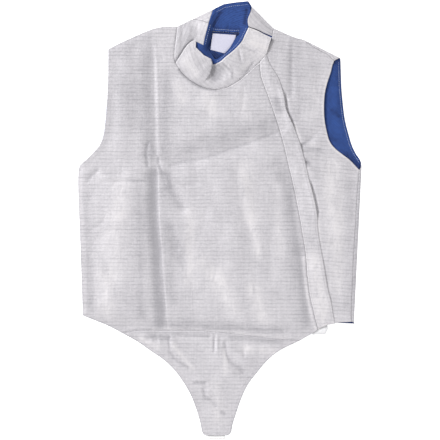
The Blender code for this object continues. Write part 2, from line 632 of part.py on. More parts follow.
def back_shell():
    """The silver back. Its left side and left shoulder turn over to meet the front."""
    side = FoldOver(SIDE_FOLD_L, SIDE_FOLD_RADIUS, flat_at(FRONT_HEIGHT))
    shoulder = FoldOver(SHOULDER_FOLD_L, SIDE_FOLD_RADIUS, flat_at(FRONT_HEIGHT))
    strip = side.unfold(LINE.side_seam_l)
    cap = shoulder.unfold(LINE.shoulder_seam_l[:-1])
    loop = joined(
        back(LINE.shoulder_r), LINE.armhole_r, LINE.side_r, LINE.back_hem,
        np.array([BACK_HEM[1], *strip, SIDE_FOLD_L[0]]),
        LINE.back_armhole_l,
        np.array([SHOULDER_FOLD_L[1], *cap, SHOULDER_L[0]]),
        LINE.shoulder_l, back(LINE.back_neck))
    cloth("back_shell", loop, flat_at(0.0), CLOTH, NO_GRID, silver_cloth("back_shell"),
          folds=[side, shoulder])


def back_lining():
    """The blue lining lies on the back and ends short of its sewn edges."""
    loop = back_outline()
    x, y = loop.T
    sewn = nearest(x, y, LINE.side_r, LINE.shoulder_r, LINE.shoulder_l)
    turned = np.minimum(distance_to_line(x, y, *SIDE_FOLD_L), distance_to_line(x, y, *SHOULDER_FOLD_L))
    sewn_in = 1 - ease(sewn / LINING_INSET_FADE)
    margin = LINING_OPEN_INSET + (LINING_SEWN_INSET - LINING_OPEN_INSET) * sewn_in
    margin = np.where(turned < ON_THE_FOLD, np.maximum(margin, LINING_FOLD_INSET), margin)
    cloth("back_lining", inset(loop, margin), flat_at(LINING_HEIGHT), LINING, NO_GRID,
          cloth_material("back_lining_cloth", BLUE, 0.8))


def front_main():
    """The silver front, from the right side to the placket's seam."""
    loop = joined(back(LINE.shoulder_r), LINE.armhole_r, LINE.side_r, LINE.side_hem_r, LINE.hem_r,
                  LINE.crotch_seam, LINE.hem_front, back(LINE.placket_seam), back(LINE.neck_front),
                  back(LINE.neck_under_flap), back(LINE.neck_side))
    lines = [shifted(LINE.crease, amount)[1:-1] for amount in (-CREASE_WIDTH, 0, CREASE_WIDTH)]
    cloth("front_main", loop, front_height, CLOTH, FRONT_GRID, silver_cloth("front_main"), lines=lines)


def front_left():
    """The silver left front, which runs on a little under the placket's free edge."""
    under = shifted(LINE.placket_edge, -PLACKET_OVERLAP)
    top, bottom = NECK_UNDER_TAB[0][1] - OVERLAP_END, HEM_L[0][1] + OVERLAP_END
    under = under[(under[:, 1] < top) & (under[:, 1] > bottom)]
    loop = joined(LINE.neck_under_tab, LINE.neck_l, back(LINE.shoulder_l), back(LINE.shoulder_seam_l),
                  back(LINE.armhole_l), back(LINE.side_seam_l), back(LINE.hem_l),
                  np.array([HEM_L[0], *back(under), NECK_UNDER_TAB[0]]))
    cloth("front_left", loop, front_height, CLOTH, LEFT_FRONT_GRID, silver_cloth("front_left"))


def placket():
    """The flap over the zip, sewn to the front, its free edge lying on the left front."""
    loop = joined(LINE.neck_placket, LINE.placket_edge, back(LINE.hem_placket), back(LINE.placket_seam))
    middle = shifted(LINE.placket_seam, PLACKET_ROOT)[1:-1]
    cloth("placket", loop, placket_height, CLOTH, PLACKET_GRID, silver_cloth("placket"), lines=[middle])


def crotch():
    loop = joined(LINE.strap_r, LINE.strap_end, LINE.strap_l, back(LINE.crotch_seam))
    cloth("crotch", loop, crotch_height, CLOTH, CROTCH_GRID, silver_cloth("crotch"))


def crotch_elastic():
    loop = joined(cornered([*ELASTIC, ELASTIC[0]], LONG_STEP))
    cloth("crotch_elastic", loop, flat_at(0.0), LINING, NO_GRID,
          cloth_material("crotch_elastic_web", ELASTIC_WHITE, 0.7))


def zip_tape():
    loop = joined(cornered([*ZIP_TAIL, ZIP_TAIL[0]], LONG_STEP))
    cloth("zip_tape", loop, flat_at(0.0), LINING, NO_GRID,
          cloth_material("zip_tape_web", ELASTIC_WHITE, 0.7))


def collar_back():
    """The collar's outer layer behind the neck. Both its ends turn over towards the front."""
    right = FoldOver(COLLAR_FOLD_R, COLLAR_FOLD_RADIUS, side_height)
    left = FoldOver(COLLAR_FOLD_L, COLLAR_FOLD_RADIUS, turn_height)
    turned_right = right.unfold(np.concatenate([LINE.collar_seam_r[1:-1], LINE.ridge_r_back[:-1]]))
    turned_left = left.unfold(np.concatenate([LINE.ridge_l_back[1:-1], LINE.turn_under_tab[:-1],
                                              LINE.neck_l[:-1]]))
    loop = joined(
        LINE.collar_edge_r, np.array([COLLAR_FOLD_R[0], *turned_right, COLLAR_FOLD_R[1]]), LINE.collar_top,
        np.array([COLLAR_FOLD_L[0], *turned_left, COLLAR_FOLD_L[1]]), back(LINE.back_neck))
    cloth("collar_back", loop, flat_at(0.0), CLOTH, COLLAR_BACK_GRID, silver_cloth("collar_back"),
          folds=[right, left])


def collar_side():
    """The collar's right side, which rolls up from the neckline to its ridge."""
    loop = joined(LINE.collar_edge_r, LINE.collar_seam_r, LINE.ridge_r_side, LINE.ridge_r_end,
                  LINE.side_under_flap, back(LINE.neck_under_flap), back(LINE.neck_side))
    cloth("collar_side", loop, side_height, CLOTH, COLLAR_SIDE_GRID, silver_cloth("collar_side"))


def collar_front():
    """The collar's front: the puffed flap, the hollow beside it and the overlapping tab."""
    loop = joined(LINE.neck_under_flap, LINE.neck_front, LINE.neck_placket, back(LINE.tab_end),
                  back(LINE.tab_top), LINE.ridge_l_front, back(LINE.flap_top), back(LINE.flap_fold))
    cloth("collar_front", loop, collar_height, CLOTH, COLLAR_FRONT_GRID, silver_cloth("collar_front"))


def collar_lining():
    """The collar's blue lining: a ring round the neck, flat behind it, its legs up at the ridges."""
    loop = joined(cornered(LINING_TOP, SHORT_STEP), LINE.ridge_l_back[1:], LINE.ridge_l_front,
                  back(LINE.lining_under_flap), back(LINE.ridge_r_end), back(LINE.ridge_r_side),
                  np.array([*LINE.ridge_r_back[:-1], LINING_TOP[0]]))
    cloth("collar_lining", loop, collar_lining_height, LINING, COLLAR_LINING_GRID,
          cloth_material("collar_lining_cloth", BLUE, 0.8), hole=LINE.neck_hole)


def neck_label():
    """The label lies on the back's lining, sewn at its top edge."""
    level = LINING_HEIGHT + LINING + LAYER_GAP
    loop = joined(cornered([*LABEL, LABEL[0]], LONG_STEP))
    cloth("neck_label", loop, flat_at(level), LABEL_WALL, NO_GRID,
          cloth_material("neck_label_satin", WHITE, 0.5))


def main():
    for old in list(bpy.data.objects):
        bpy.data.objects.remove(old, do_unlink=True)
    back_shell()
    back_lining()
    front_main()
    front_left()
    placket()
    crotch()
    crotch_elastic()
    zip_tape()
    collar_back()
    collar_side()
    collar_lining()
    collar_front()
    neck_label()


main()
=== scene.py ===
# %% [markdown]
# # A fencing lamé, laid flat
# A lamé is the electric vest that a foil fencer wears: metal-thread cloth over a cotton lining.
# This one lies face up on a table, its collar pushed open and its crotch strap pulled straight.
# The imported model gives every piece its place. This script sews the same pieces again as fine,
# creased cloth with its weave, stitches and wear, and with painted shade and painted highlights.
# We start with the frame and its box.

# %% The frame and its box
import math
from collections import namedtuple

import bpy
import numpy as np
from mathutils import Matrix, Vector
from mathutils.geometry import delaunay_2d_cdt


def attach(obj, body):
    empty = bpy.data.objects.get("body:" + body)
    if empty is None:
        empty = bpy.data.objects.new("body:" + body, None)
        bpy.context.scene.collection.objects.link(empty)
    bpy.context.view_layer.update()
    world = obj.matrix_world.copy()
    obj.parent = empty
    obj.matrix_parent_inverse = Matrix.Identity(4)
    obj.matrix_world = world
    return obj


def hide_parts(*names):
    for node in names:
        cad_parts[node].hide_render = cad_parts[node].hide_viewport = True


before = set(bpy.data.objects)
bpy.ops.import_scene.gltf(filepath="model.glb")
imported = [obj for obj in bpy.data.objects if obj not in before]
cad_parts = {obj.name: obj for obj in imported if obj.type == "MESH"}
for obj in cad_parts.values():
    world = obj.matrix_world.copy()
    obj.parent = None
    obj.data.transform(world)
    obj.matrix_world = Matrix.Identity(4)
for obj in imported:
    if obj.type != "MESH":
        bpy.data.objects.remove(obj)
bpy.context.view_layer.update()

MM = 0.001
BODY = "root"

# %% [markdown]
# ## Cutting the cloth
# A tailor cuts each piece to a paper pattern. We do the same: an outline is a few named curves,
# and two pieces that are sewn together share the curve of their seam, so they always meet.
# A Catmull-Rom curve passes through every point of its table, which suits points read off a real
# garment. A Bezier would do as well, but would need two handles for each point.

# %% Curves through a few points
CURVE_PARTS = 16
MITRE_LEAST = 0.8


def straight(points, step):
    """Points every step mm along a run of straight lines, its two ends kept."""
    points = np.array(points, dtype=float)
    run = np.concatenate([[0], np.cumsum(np.linalg.norm(np.diff(points, axis=0), axis=1))])
    at = np.linspace(0, run[-1], max(1, round(run[-1] / step)) + 1)
    return np.column_stack([np.interp(at, run, points[:, i]) for i in range(points.shape[1])])


def smooth_curve(points, step):
    """Points every step mm along a Catmull-Rom curve through the table's points."""
    if len(points) == 2:
        return straight(points, step)
    first = 2 * np.array(points[0], dtype=float) - points[1]
    last = 2 * np.array(points[-1], dtype=float) - points[-2]
    knots = np.array([first, *points, last], dtype=float)
    fine = []
    for i in range(1, len(knots) - 2):
        p0, p1, p2, p3 = knots[i - 1:i + 3]
        for t in np.linspace(0, 1, CURVE_PARTS, endpoint=False):
            fine.append(0.5 * (2 * p1 + (p2 - p0) * t + (2 * p0 - 5 * p1 + 4 * p2 - p3) * t ** 2
                               + (3 * p1 - p0 - 3 * p2 + p3) * t ** 3))
    fine.append(knots[-2])
    return straight(fine, step)


def cornered(points, step):
    """Straight lines between the table's points, each corner kept."""
    runs = [straight(pair, step)[:-1] for pair in zip(points[:-1], points[1:])]
    return np.concatenate([*runs, [points[-1]]])


def back(run):
    return run[::-1]


def signed_area(loop):
    """The area inside an outline, above zero where it runs anticlockwise."""
    x, y = loop.T
    return float(np.sum(x * np.roll(y, -1) - np.roll(x, -1) * y) / 2)


def joined(*runs):
    """One closed anticlockwise outline from runs that end where the next begins."""
    loop = np.concatenate([run[:-1] for run in runs])
    return loop if signed_area(loop) > 0 else loop[::-1]


def inset(loop, amount):
    """An anticlockwise outline moved inwards by the amount."""
    before = loop - np.roll(loop, 1, axis=0)
    after = np.roll(loop, -1, axis=0) - loop
    before /= np.linalg.norm(before, axis=1)[:, None]
    after /= np.linalg.norm(after, axis=1)[:, None]
    inward = np.column_stack([-(before + after)[:, 1], (before + after)[:, 0]])
    length = np.maximum(np.linalg.norm(inward, axis=1), MITRE_LEAST)
    return loop + inward * (2 * amount / length ** 2)[:, None]


def shifted(run, amount):
    """A run moved to its left by the amount."""
    along = np.gradient(run, axis=0)
    along /= np.linalg.norm(along, axis=1)[:, None]
    return run + amount * np.column_stack([-along[:, 1], along[:, 0]])


# %% Distances and soft steps
def beside_line(x, y, a, b):
    """How far along the line from a to b each point lies, 0 to 1, and its distance from it."""
    ax, ay = a
    dx, dy = b[0] - ax, b[1] - ay
    t = np.clip(((x - ax) * dx + (y - ay) * dy) / (dx * dx + dy * dy), 0, 1)
    return t, np.hypot(x - ax - t * dx, y - ay - t * dy)


def distance_to_run(x, y, run):
    return np.min([beside_line(x, y, a, b)[1] for a, b in zip(run[:-1], run[1:])], axis=0)


def nearest(x, y, *runs):
    return np.min([distance_to_run(x, y, run) for run in runs], axis=0)


def inside(x, y, loop):
    """Which points lie inside a closed outline."""
    within = np.zeros(len(x), dtype=bool)
    for (ax, ay), (bx, by) in zip(loop, np.roll(loop, -1, axis=0)):
        if ay != by:
            crosses = (ay > y) != (by > y)
            within ^= crosses & (x < ax + (y - ay) * (bx - ax) / (by - ay))
    return within


def ease(t):
    t = np.clip(t, 0, 1)
    return t * t * (3 - 2 * t)


def bell(away, width):
    """1 on a line, falling softly to 0 beside it."""
    return np.exp(-(away / width) ** 2)


# %% [markdown]
# ## The pattern pieces
# This is the paper pattern: a point every few centimetres along each edge, in millimetres. X runs
# to the wearer's left and Y towards the collar. R is the wearer's right, L the left. Every curve
# is sampled once, so that the two sides of a seam share the same points. The collar is small and
# bends tightly, so its curves get closer points than the body's.

# %% Fold lines and small outlines
BACK_HEM = [(-247, -166), (241, -185)]
SIDE_FOLD_L = [(255, 99), (241, -185)]
SHOULDER_FOLD_L = [(153, 323.5), (217, 291)]
COLLAR_FOLD_R = [(-51, 360.4), (-11.5, 379.5)]
COLLAR_FOLD_L = [(57.5, 384), (95, 346.5)]
LINING_TOP = [(-8.5, 377.8), (7.5, 386.3), (26, 389.6), (50.3, 391.8), (55.3, 382.5), (54, 375)]
LABEL = [(-17, 306), (24.5, 295), (29, 332.5), (-13, 335.5)]
ELASTIC = [(-21, -394), (9, -394), (9.5, -367), (-22, -367)]
ZIP_TAIL = [(166.5, -206.5), (190, -205), (194.5, -195.5), (193, -186.5), (165, -186.5)]

# %% The pattern's edges
LONG, SHORT = ((4.0, 2.0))


class Line:
    """The runs that outlines, heights and stitches are made from."""
    shoulder_r = smooth_curve([
        (-201, 307), (-180, 318), (-158, 328), (-133, 339), (-115, 345), (-97, 348), (-76.5, 348)], LONG)
    armhole_r = smooth_curve([
        (-201, 307), (-201, 261), (-202.5, 219.5), (-205, 183.5), (-208.5, 155), (-216.5, 134.5),
        (-228.5, 120.5), (-241, 108.5), (-252, 98.5)], LONG)
    side_r = smooth_curve([
        (-252, 98.5), (-254.5, 87.5), (-255, 54), (-251.5, -36), (-247, -166)], 2 * LONG)
    side_hem_r = straight([(-247, -166), (-247, -171.5)], LONG)
    hem_r = smooth_curve([(-247, -171.5), (-223, -181), (-199.5, -191), (-176, -203.5)], LONG)
    crotch_seam = smooth_curve([
        (-176, -203.5), (-144, -199), (-93.5, -199), (-50, -199), (-6, -201.5), (40, -206.5),
        (86, -212.5), (120, -215.5), (144, -217)], LONG)
    hem_front = smooth_curve([(144, -217), (155, -210.5), (166, -204), (176.5, -197)], LONG)
    hem_placket = smooth_curve([(176.5, -197), (191, -189.5), (206.5, -186)], LONG)
    hem_l = smooth_curve([(201, -187), (214, -184.5), (236.5, -183)], LONG)
    side_seam_l = smooth_curve([
        (236.5, -183), (236.5, -163), (238, -126), (240, -75.5), (242.5, -36), (246.5, 36),
        (250.5, 90)], LONG)
    armhole_l = smooth_curve([
        (250.5, 90), (241.5, 99.5), (231.5, 109.5), (220.5, 117.5), (208, 127.5), (197.5, 140.5),
        (192, 158.5), (188, 180), (187, 204.5), (188.5, 227), (193, 246.5), (199, 264.5),
        (202, 277), (205.5, 286)], LONG)
    shoulder_seam_l = smooth_curve([
        (205.5, 286), (194.5, 296.5), (180.5, 304), (160.5, 316), (150, 324.5)], LONG)
    shoulder_l = smooth_curve([
        (150, 324.5), (139, 327), (124.5, 332.5), (110, 339), (97, 344.5)], LONG)
    back_armhole_l = smooth_curve([
        (255, 99), (252, 108.5), (244.5, 119.5), (237, 135.5), (230.5, 158), (225.5, 178),
        (222.5, 198), (219, 234), (218, 259), (217, 291)], LONG)
    back_hem = straight(BACK_HEM, 2 * LONG)
    back_neck = smooth_curve([
        (-76.5, 348), (-50, 342.5), (-14, 339.5), (14.5, 338), (36, 336.5), (67, 336.5), (97, 344.5)], SHORT)
    neck_side = smooth_curve([
        (-76.5, 348), (-79, 327.5), (-81.5, 306), (-82, 291.5), (-80, 281)], SHORT)
    neck_under_flap = straight([(-80, 281), (-73, 271)], SHORT)
    neck_front = smooth_curve([
        (-73, 271), (-66.5, 262), (-53, 250.5), (-39, 242), (-23, 236), (-7, 234), (7.5, 236.5),
        (22, 242.5), (36, 252), (49, 263), (60.5, 274), (71.5, 283.5)], SHORT)
    neck_placket = straight([(71.5, 283.5), (83.5, 297.5)], SHORT)
    neck_under_tab = smooth_curve([(79.5, 288), (81, 298), (86.5, 311.5), (92.5, 323)], SHORT)
    neck_l = smooth_curve([(92.5, 323), (94, 329.5), (97, 344.5)], SHORT)
    placket_seam = smooth_curve([
        (71.5, 283.5), (73.5, 259.5), (78, 245), (85.5, 225), (94, 201.5), (102, 178), (108.5, 157),
        (115.5, 131.5), (124, 94.5), (132, 61), (141.5, 14.5), (149.5, -32.5), (154.5, -65),
        (157, -99), (162, -137), (168.5, -165.5), (176.5, -197)], LONG)
    placket_edge = smooth_curve([
        (83.5, 297.5), (88.5, 283.5), (95, 272), (102.5, 260.5), (107.5, 250), (112, 235),
        (116, 218), (118.5, 200), (124.5, 185.5), (134, 164.5), (145.5, 133), (156, 92), (162, 65),
        (169.5, 36), (174.5, 9), (176.5, -20), (181, -48.5), (187, -83), (192.5, -117),
        (199.5, -146.5), (204.5, -173), (206.5, -186)], LONG)
    strap_r = smooth_curve([
        (-176, -203.5), (-149, -218.5), (-126, -234.5), (-104, -249.5), (-90, -261.5),
        (-75.5, -278), (-61, -299.5), (-50, -320.5), (-42, -342), (-36, -362), (-32.5, -380)], LONG)
    strap_end = smooth_curve([
        (-32.5, -380), (-29.5, -385), (-22.5, -388), (9.5, -387.5), (17.5, -385), (20.5, -380)], SHORT)
    strap_l = smooth_curve([
        (20.5, -380), (23, -367), (29, -348), (36.5, -326), (44.5, -307), (54, -290.5),
        (65.5, -276), (78, -260.5), (92.5, -246), (110, -233.5), (130, -223.5), (144, -217)], LONG)
    collar_edge_r = straight([(-76.5, 348), (-51, 360.4)], SHORT)
    collar_top = cornered([(-11.5, 379.5), (7, 388.5), (25.5, 391.5), (51, 394), (57.5, 384)], SHORT)
    collar_seam_r = smooth_curve([(-51, 360.4), (-37.5, 359.5), (-20, 353)], SHORT)
    ridge_r_back = smooth_curve([(-20, 353), (-16, 366), (-11.5, 379.5)], SHORT)
    ridge_r_side = smooth_curve([(-20, 353), (-22, 344), (-26.5, 327.5), (-29.5, 313)], SHORT)
    ridge_r_end = straight([(-29.5, 313), (-42.5, 319.5)], SHORT)
    side_under_flap = smooth_curve([(-42.5, 319.5), (-46.5, 306), (-59, 289), (-73, 271)], SHORT)
    ridge_l_back = smooth_curve([(57.5, 384), (54.5, 373), (50, 359), (51.5, 345.5)], SHORT)
    ridge_l_front = smooth_curve([
        (51.5, 345.5), (45.5, 333), (37.5, 318), (24.5, 304), (11.5, 293.5), (1, 284.5),
        (-12.5, 279)], SHORT)
    flap_fold = smooth_curve([
        (-80, 281), (-68.5, 298.5), (-61, 310.5), (-54, 318), (-47.5, 322)], SHORT)
    flap_top = cornered([
        (-47.5, 322), (-42.5, 319.5), (-43, 309.5), (-28.5, 295), (-15, 288), (-12.5, 279)], SHORT)
    lining_under_flap = cornered([
        (-42.5, 319.5), (-44, 309), (-30.5, 293), (-17, 285.5), (-12.5, 279)], SHORT)
    tab_top = smooth_curve([(51.5, 345.5), (67.5, 339.5), (78.5, 333.5), (93, 327)], SHORT)
    tab_end = smooth_curve([(93, 327), (90, 318.5), (87, 308.5), (83.5, 297.5)], SHORT)
    neck_hole = smooth_curve([
        (-13.5, 339.1), (-17, 324), (-21, 309.5), (-14, 297), (-7, 288.5), (6.5, 297.5),
        (18, 309.5), (27, 325), (35, 336.2), (14.5, 337.7)], SHORT)
    crease = smooth_curve([
        (-117, 327.5), (-114, 288), (-112, 216), (-110, 144), (-109, 122), (-114, 104),
        (-109.5, 90), (-112, 72), (-111.5, 36), (-110, 0), (-106.5, -25), (-104, -58),
        (-103.5, -90), (-99, -122), (-95.5, -162), (-94, -198)], LONG)


print("points on the placket's seam:", len(Line.placket_seam))

# %% [markdown]
# ## How the cloth stands
# A laid garment isn't flat. The front puffs up off the back, is held down where it is sewn, and
# keeps the creases it was packed with. Each crease is a row of a table: a line, how wide the bell
# across it is, and how high it stands, negative for a trough. Adding bells is much easier to
# steer than sculpting or a cloth simulation, and any layer can ask for the height at any point.

# %% Layers and their heights
CLOTH = 1.2
LINING = 1.0
LAYER_GAP = 0.3
LINING_HEIGHT = CLOTH + LAYER_GAP
FRONT_HEIGHT = LINING_HEIGHT + LINING + LAYER_GAP
SEWN_HEIGHT = CLOTH + LAYER_GAP
PUFF_HEIGHT = 2.1
PUFF_REACH = 34.0
SEWN_REACH = 6.0
HEM_FADE = 26.0
RELIEF_MOST = 9.0
CREASE_RISE = 0.4
CREASE_WIDTH = 2.2
SIDE_FOLD_RADIUS = (FRONT_HEIGHT + CLOTH) / 2

print("front's underside above the table:", FRONT_HEIGHT, "mm")

# %% Rows of the crease tables
Fold = namedtuple("Fold", "x0 y0 x1 y1 width height")
Band = namedtuple("Band", "run width height")
Ledge = namedtuple("Ledge", "wide steep crest")
Mark = namedtuple("Mark", "x y height")

# %% Main troughs and swells of the front
FRONT_FOLDS = [
    Fold(10, 60, 30, -150, 62, 2.4),
    Fold(0, 176, 60, 186, 44, 1.6),
    Fold(-160, 50, -164, -160, 30, 1.4),
    Fold(-160, 300, -156, 130, 30, 0.7),
    Fold(-96, 76, -66, 20, 9, -1.2),
    Fold(-92, -18, -74, -70, 9, -1.0),
    Fold(-80, 80, 110, 122, 12, 0.6),
    Fold(-185, 45, -191, -153, 26, 1.2),
    Fold(15, 54, 33, -176, 22, 1.0),
    Fold(-61, 81, -68, -144, 16, 0.8),
    Fold(213, 63, 211, -144, 15, 0.9),
    Fold(129, 322, 127, 224, 6, -1.3),
    Fold(143, 310, 143, 236, 9, 0.3),
    Fold(-27, 212, -43, 158, 16, 0.8),
    Fold(-171, 270, -176, 162, 20, 0.9),
    Fold(159, 270, 162, 180, 18, 0.8),
    Fold(243, 80, 240, 0, 8, -0.8),
    Fold(150, 132, 174, 156, 7, -1.0),
]

# %% Small marks in the front
# A narrow ridge beside the lower part of the placket's seam
SEAM_RIDGE = [(151, -68), (153.5, -99), (158, -137), (164.5, -165.5), (172, -196)]
# Puckers at the underarm, the kink in the pressed crease, wrinkles and scratches
FINE_FOLDS = [
    Fold(-90, 97, -60, 106, 2.2, -0.5),
    Fold(-60, 106, -30, 110, 2.2, -0.5),
    Fold(-30, 110, 12, 124, 2.2, -0.5),
    Fold(12, 124, 54, 139, 2.2, -0.5),
    Fold(54, 139, 118, 164, 2.2, -0.5),
    Fold(-240, 72, -221, 88, 4, -1.2),
    Fold(-246, 88, -228, 82, 4, 0.7),
    Fold(-241, 63, -232, 40, 5, -0.6),
    Fold(-212, 69, -132, 70, 2.2, -0.9),
    Fold(-210, 75, -140, 76, 4, 0.5),
    Band([(-129, 138), (-133, 121), (-130, 98)], 2.6, -1.4),
    Fold(-124, 134, -120, 118, 3, 0.8),
    Fold(-234, -22, -206, 0, 2.5, -0.5),
    Fold(-198, 56, -188, 64, 2.5, -0.5),
    Band([(-111, 110), (-109, 98), (-104, 86), (-100, 80)], 2.2, -1.3),
    Fold(-104, 90, -90, 62, 3.5, 0.7),
    Fold(-84, 84, -62, 60, 3, -0.5),
    Fold(-62, 62, -40, 66, 3.5, -0.6),
    Fold(-66, 54, -50, 54, 3, 0.4),
    Fold(-58, -20, -74, -66, 5, 0.5),
    Fold(-20, 22, -50, -60, 6, -0.4),
    Fold(39, 98, 56, 4, 6, 0.35),
    Fold(56, 4, 76, -62, 5, 0.35),
    Fold(28, 84, 44, 0, 5, -0.4),
    Fold(50, -70, 60, -130, 4, 0.5),
    Fold(96, 20, 88, -90, 7, -0.35),
    Fold(0, -104, 28, -160, 8, 0.5),
    Fold(66, -130, 88, -176, 7, 0.5),
    Fold(20, 202, 24, 186, 3, -0.5),
    Fold(44, 236, 38, 190, 3.5, -0.5),
    Fold(-16, 228, -18, 206, 3, -0.3),
    Fold(-96, -192, -8, -196, 4, -0.7),
    Fold(-8, -196, 92, -206, 4, -0.6),
    Fold(-176, -196, -100, -194, 4, -0.5),
    Fold(236, 60, 244, 30, 4, -0.5),
    Fold(222, -48, 236, -66, 4, -0.5),
    Fold(206, -96, 214, -150, 5, -0.5),
    Fold(186, 100, 200, 70, 7, 0.5),
    Fold(172, 250, 178, 206, 9, -0.4),
    Fold(-160, 318, -150, 250, 9, -0.35),
    Fold(-190, 230, -186, 150, 8, -0.35),
    Fold(-152, 20, -150, -120, 7, -0.3),
    Fold(-228, -40, -222, -150, 9, -0.4),
    Band(SEAM_RIDGE, 2.6, 0.7),
]

# %% Ledges of the front
# Each is wide on the left of its crest and steep on the right: the pressed crease and the
# valley before it, the fall to the crease across the chest, and the fall to the placket's seam
PRESSED = Ledge(24, 1.8, [
    (-118, 330, 0.2), (-114, 288, 0.6), (-112, 216, 0.7), (-110, 144, 0.6), (-109, 118, 0.4),
    (-110, 96, 0.6), (-110, 84, 1.4), (-110, 36, 1.6), (-108.5, 0, 1.6), (-103, -58, 1.5),
    (-102, -90, 1.5), (-94.5, -162, 1.3), (-93, -194, 0.9)])
VALLEY = Ledge(15, 11, [
    (-98, -196, -1.4), (-99.5, -162, -2.0), (-107.5, -90, -2.4), (-108.5, -58, -2.6),
    (-114, 0, -2.7), (-115, 36, -2.7), (-114, 80, -2.6), (-113, 92, -0.9), (-113, 122, -0.8),
    (-114, 150, -1.2), (-116, 216, -1.3), (-118, 288, -1.1), (-120, 330, -0.4)])
CHEST = Ledge(30, 14, [
    (-104, 95, 0), (-88, 98, -0.8), (-60, 106, -1.3), (-30, 110, -1.6), (12, 124, -2.0),
    (54, 139, -2.1), (100, 157, -1.8), (124, 168, 0)])
PLACKET_FALL = Ledge(22, 14, [
    (173, -196, -1.0), (166, -165.5, -1.2), (155, -99, -1.3), (147.5, -32.5, -1.3),
    (139.5, 14.5, -1.3), (130, 61, -1.1), (122, 94, -0.7), (114, 131, -0.2), (107, 157, 0)])
print("creases on the front:", len(FRONT_FOLDS) + len(FINE_FOLDS))


# %% From tables to heights
def folds_at(x, y, folds):
    """The sum of the troughs and swells, each a soft bell across its line or run of lines."""
    total = np.zeros_like(x)
    for fold in folds:
        run = fold.run if isinstance(fold, Band) else [(fold.x0, fold.y0), (fold.x1, fold.y1)]
        total += fold.height * bell(distance_to_run(x, y, run), fold.width)
    return total


def ledge_at(x, y, ledge):
    """The ledge's height, negative for a trough, from the nearest part of its crest."""
    nearest_yet = np.full(len(x), np.inf)
    rise = np.zeros(len(x))
    for (ax, ay, a_height), (bx, by, b_height) in zip(ledge.crest[:-1], ledge.crest[1:]):
        t, away = beside_line(x, y, (ax, ay), (bx, by))
        on_right = (x - ax) * (by - ay) > (y - ay) * (bx - ax)
        slope = np.exp(-np.where(on_right, away / ledge.steep, (away / ledge.wide) ** 2))
        rise = np.where(away < nearest_yet, (a_height + t * (b_height - a_height)) * slope, rise)
        nearest_yet = np.minimum(nearest_yet, away)
    return rise


NOT_ZERO = 1e-9


def surface_through(marks, lowest, folds=()):
    """A thin-plate surface through the marks, no lower than the lowest height, with its creases."""
    at = np.array([(m.x, m.y) for m in marks], dtype=float)
    heights = np.array([m.height for m in marks])
    count = len(marks)

    def bend(distance):
        return np.where(distance > 0, distance ** 2 * np.log(np.maximum(distance, NOT_ZERO)), 0.0)

    system = np.zeros((count + 3, count + 3))
    system[:count, :count] = bend(np.linalg.norm(at[:, None] - at[None], axis=2))
    system[:count, count] = 1
    system[:count, count + 1:] = at
    system[count:, :count] = system[:count, count:].T
    weights = np.linalg.solve(system, np.concatenate([heights, [0, 0, 0]]))

    def height(x, y):
        away = np.hypot(x[:, None] - at[:, 0], y[:, None] - at[:, 1])
        plane = weights[count] + weights[count + 1] * x + weights[count + 2] * y
        return np.maximum(bend(away) @ weights[:count] + plane + folds_at(x, y, folds), lowest)

    return height


BOX_MARGIN = 2.0


def over_box(x, y, loop, fade):
    """A lift over the box of a thin tape that lies below."""
    (x0, y0), (x1, y1) = np.min(loop, axis=0) - BOX_MARGIN, np.max(loop, axis=0) + BOX_MARGIN
    beside = np.maximum(np.maximum(x0 - x, x - x1), 0)
    beyond = np.maximum(np.maximum(y0 - y, y - y1), 0)
    return (LINING + LAYER_GAP) * (1 - ease(np.hypot(beside, beyond) / fade))


# %% [markdown]
# ## Heights of the body
# The front rises from its sewn edges over a few centimetres, like a slack drumskin. Along the
# open edges, such as the armholes, nothing holds it down. The placket starts level with the
# front at its seam, climbs onto the left front, and its free edge stands up in a few places.
# Slow waves, the sum of a few sines with a fixed seed, break up what the tables leave smooth.

# %% Slow waves
WAVE_COUNT = 9
WAVE_HEIGHT = 0.07
# In radians a millimetre: the waves across and down the cloth, and how they sway on their way down
WAVES_ACROSS = (0.07, 0.24)
WAVES_DOWN = (-0.06, 0.06)
SWAY, SWAY_RATE = 1.5, 0.021
waves = np.random.default_rng(7)
WAVE_ROWS = [(waves.uniform(*WAVES_ACROSS), waves.uniform(*WAVES_DOWN), waves.uniform(0, 2 * math.pi))
             for _ in range(WAVE_COUNT)]


def waves_at(x, y):
    """Slow uneven waves, longer down the cloth than across it."""
    return sum(WAVE_HEIGHT * np.sin(kx * x + ky * y + phase + SWAY * np.sin(SWAY_RATE * y + phase))
               for kx, ky, phase in WAVE_ROWS)


# %% Height functions
HEM_FADE_START = 1.0
TAIL_FADE = 10.0
FINE_REACH = 8.0


def back_hem_distance(x, y):
    """How far a point lies below the back's hem."""
    (ax, ay), (bx, by) = BACK_HEM
    return ((x - ax) * (by - ay) - (y - ay) * (bx - ax)) / math.hypot(bx - ax, by - ay)


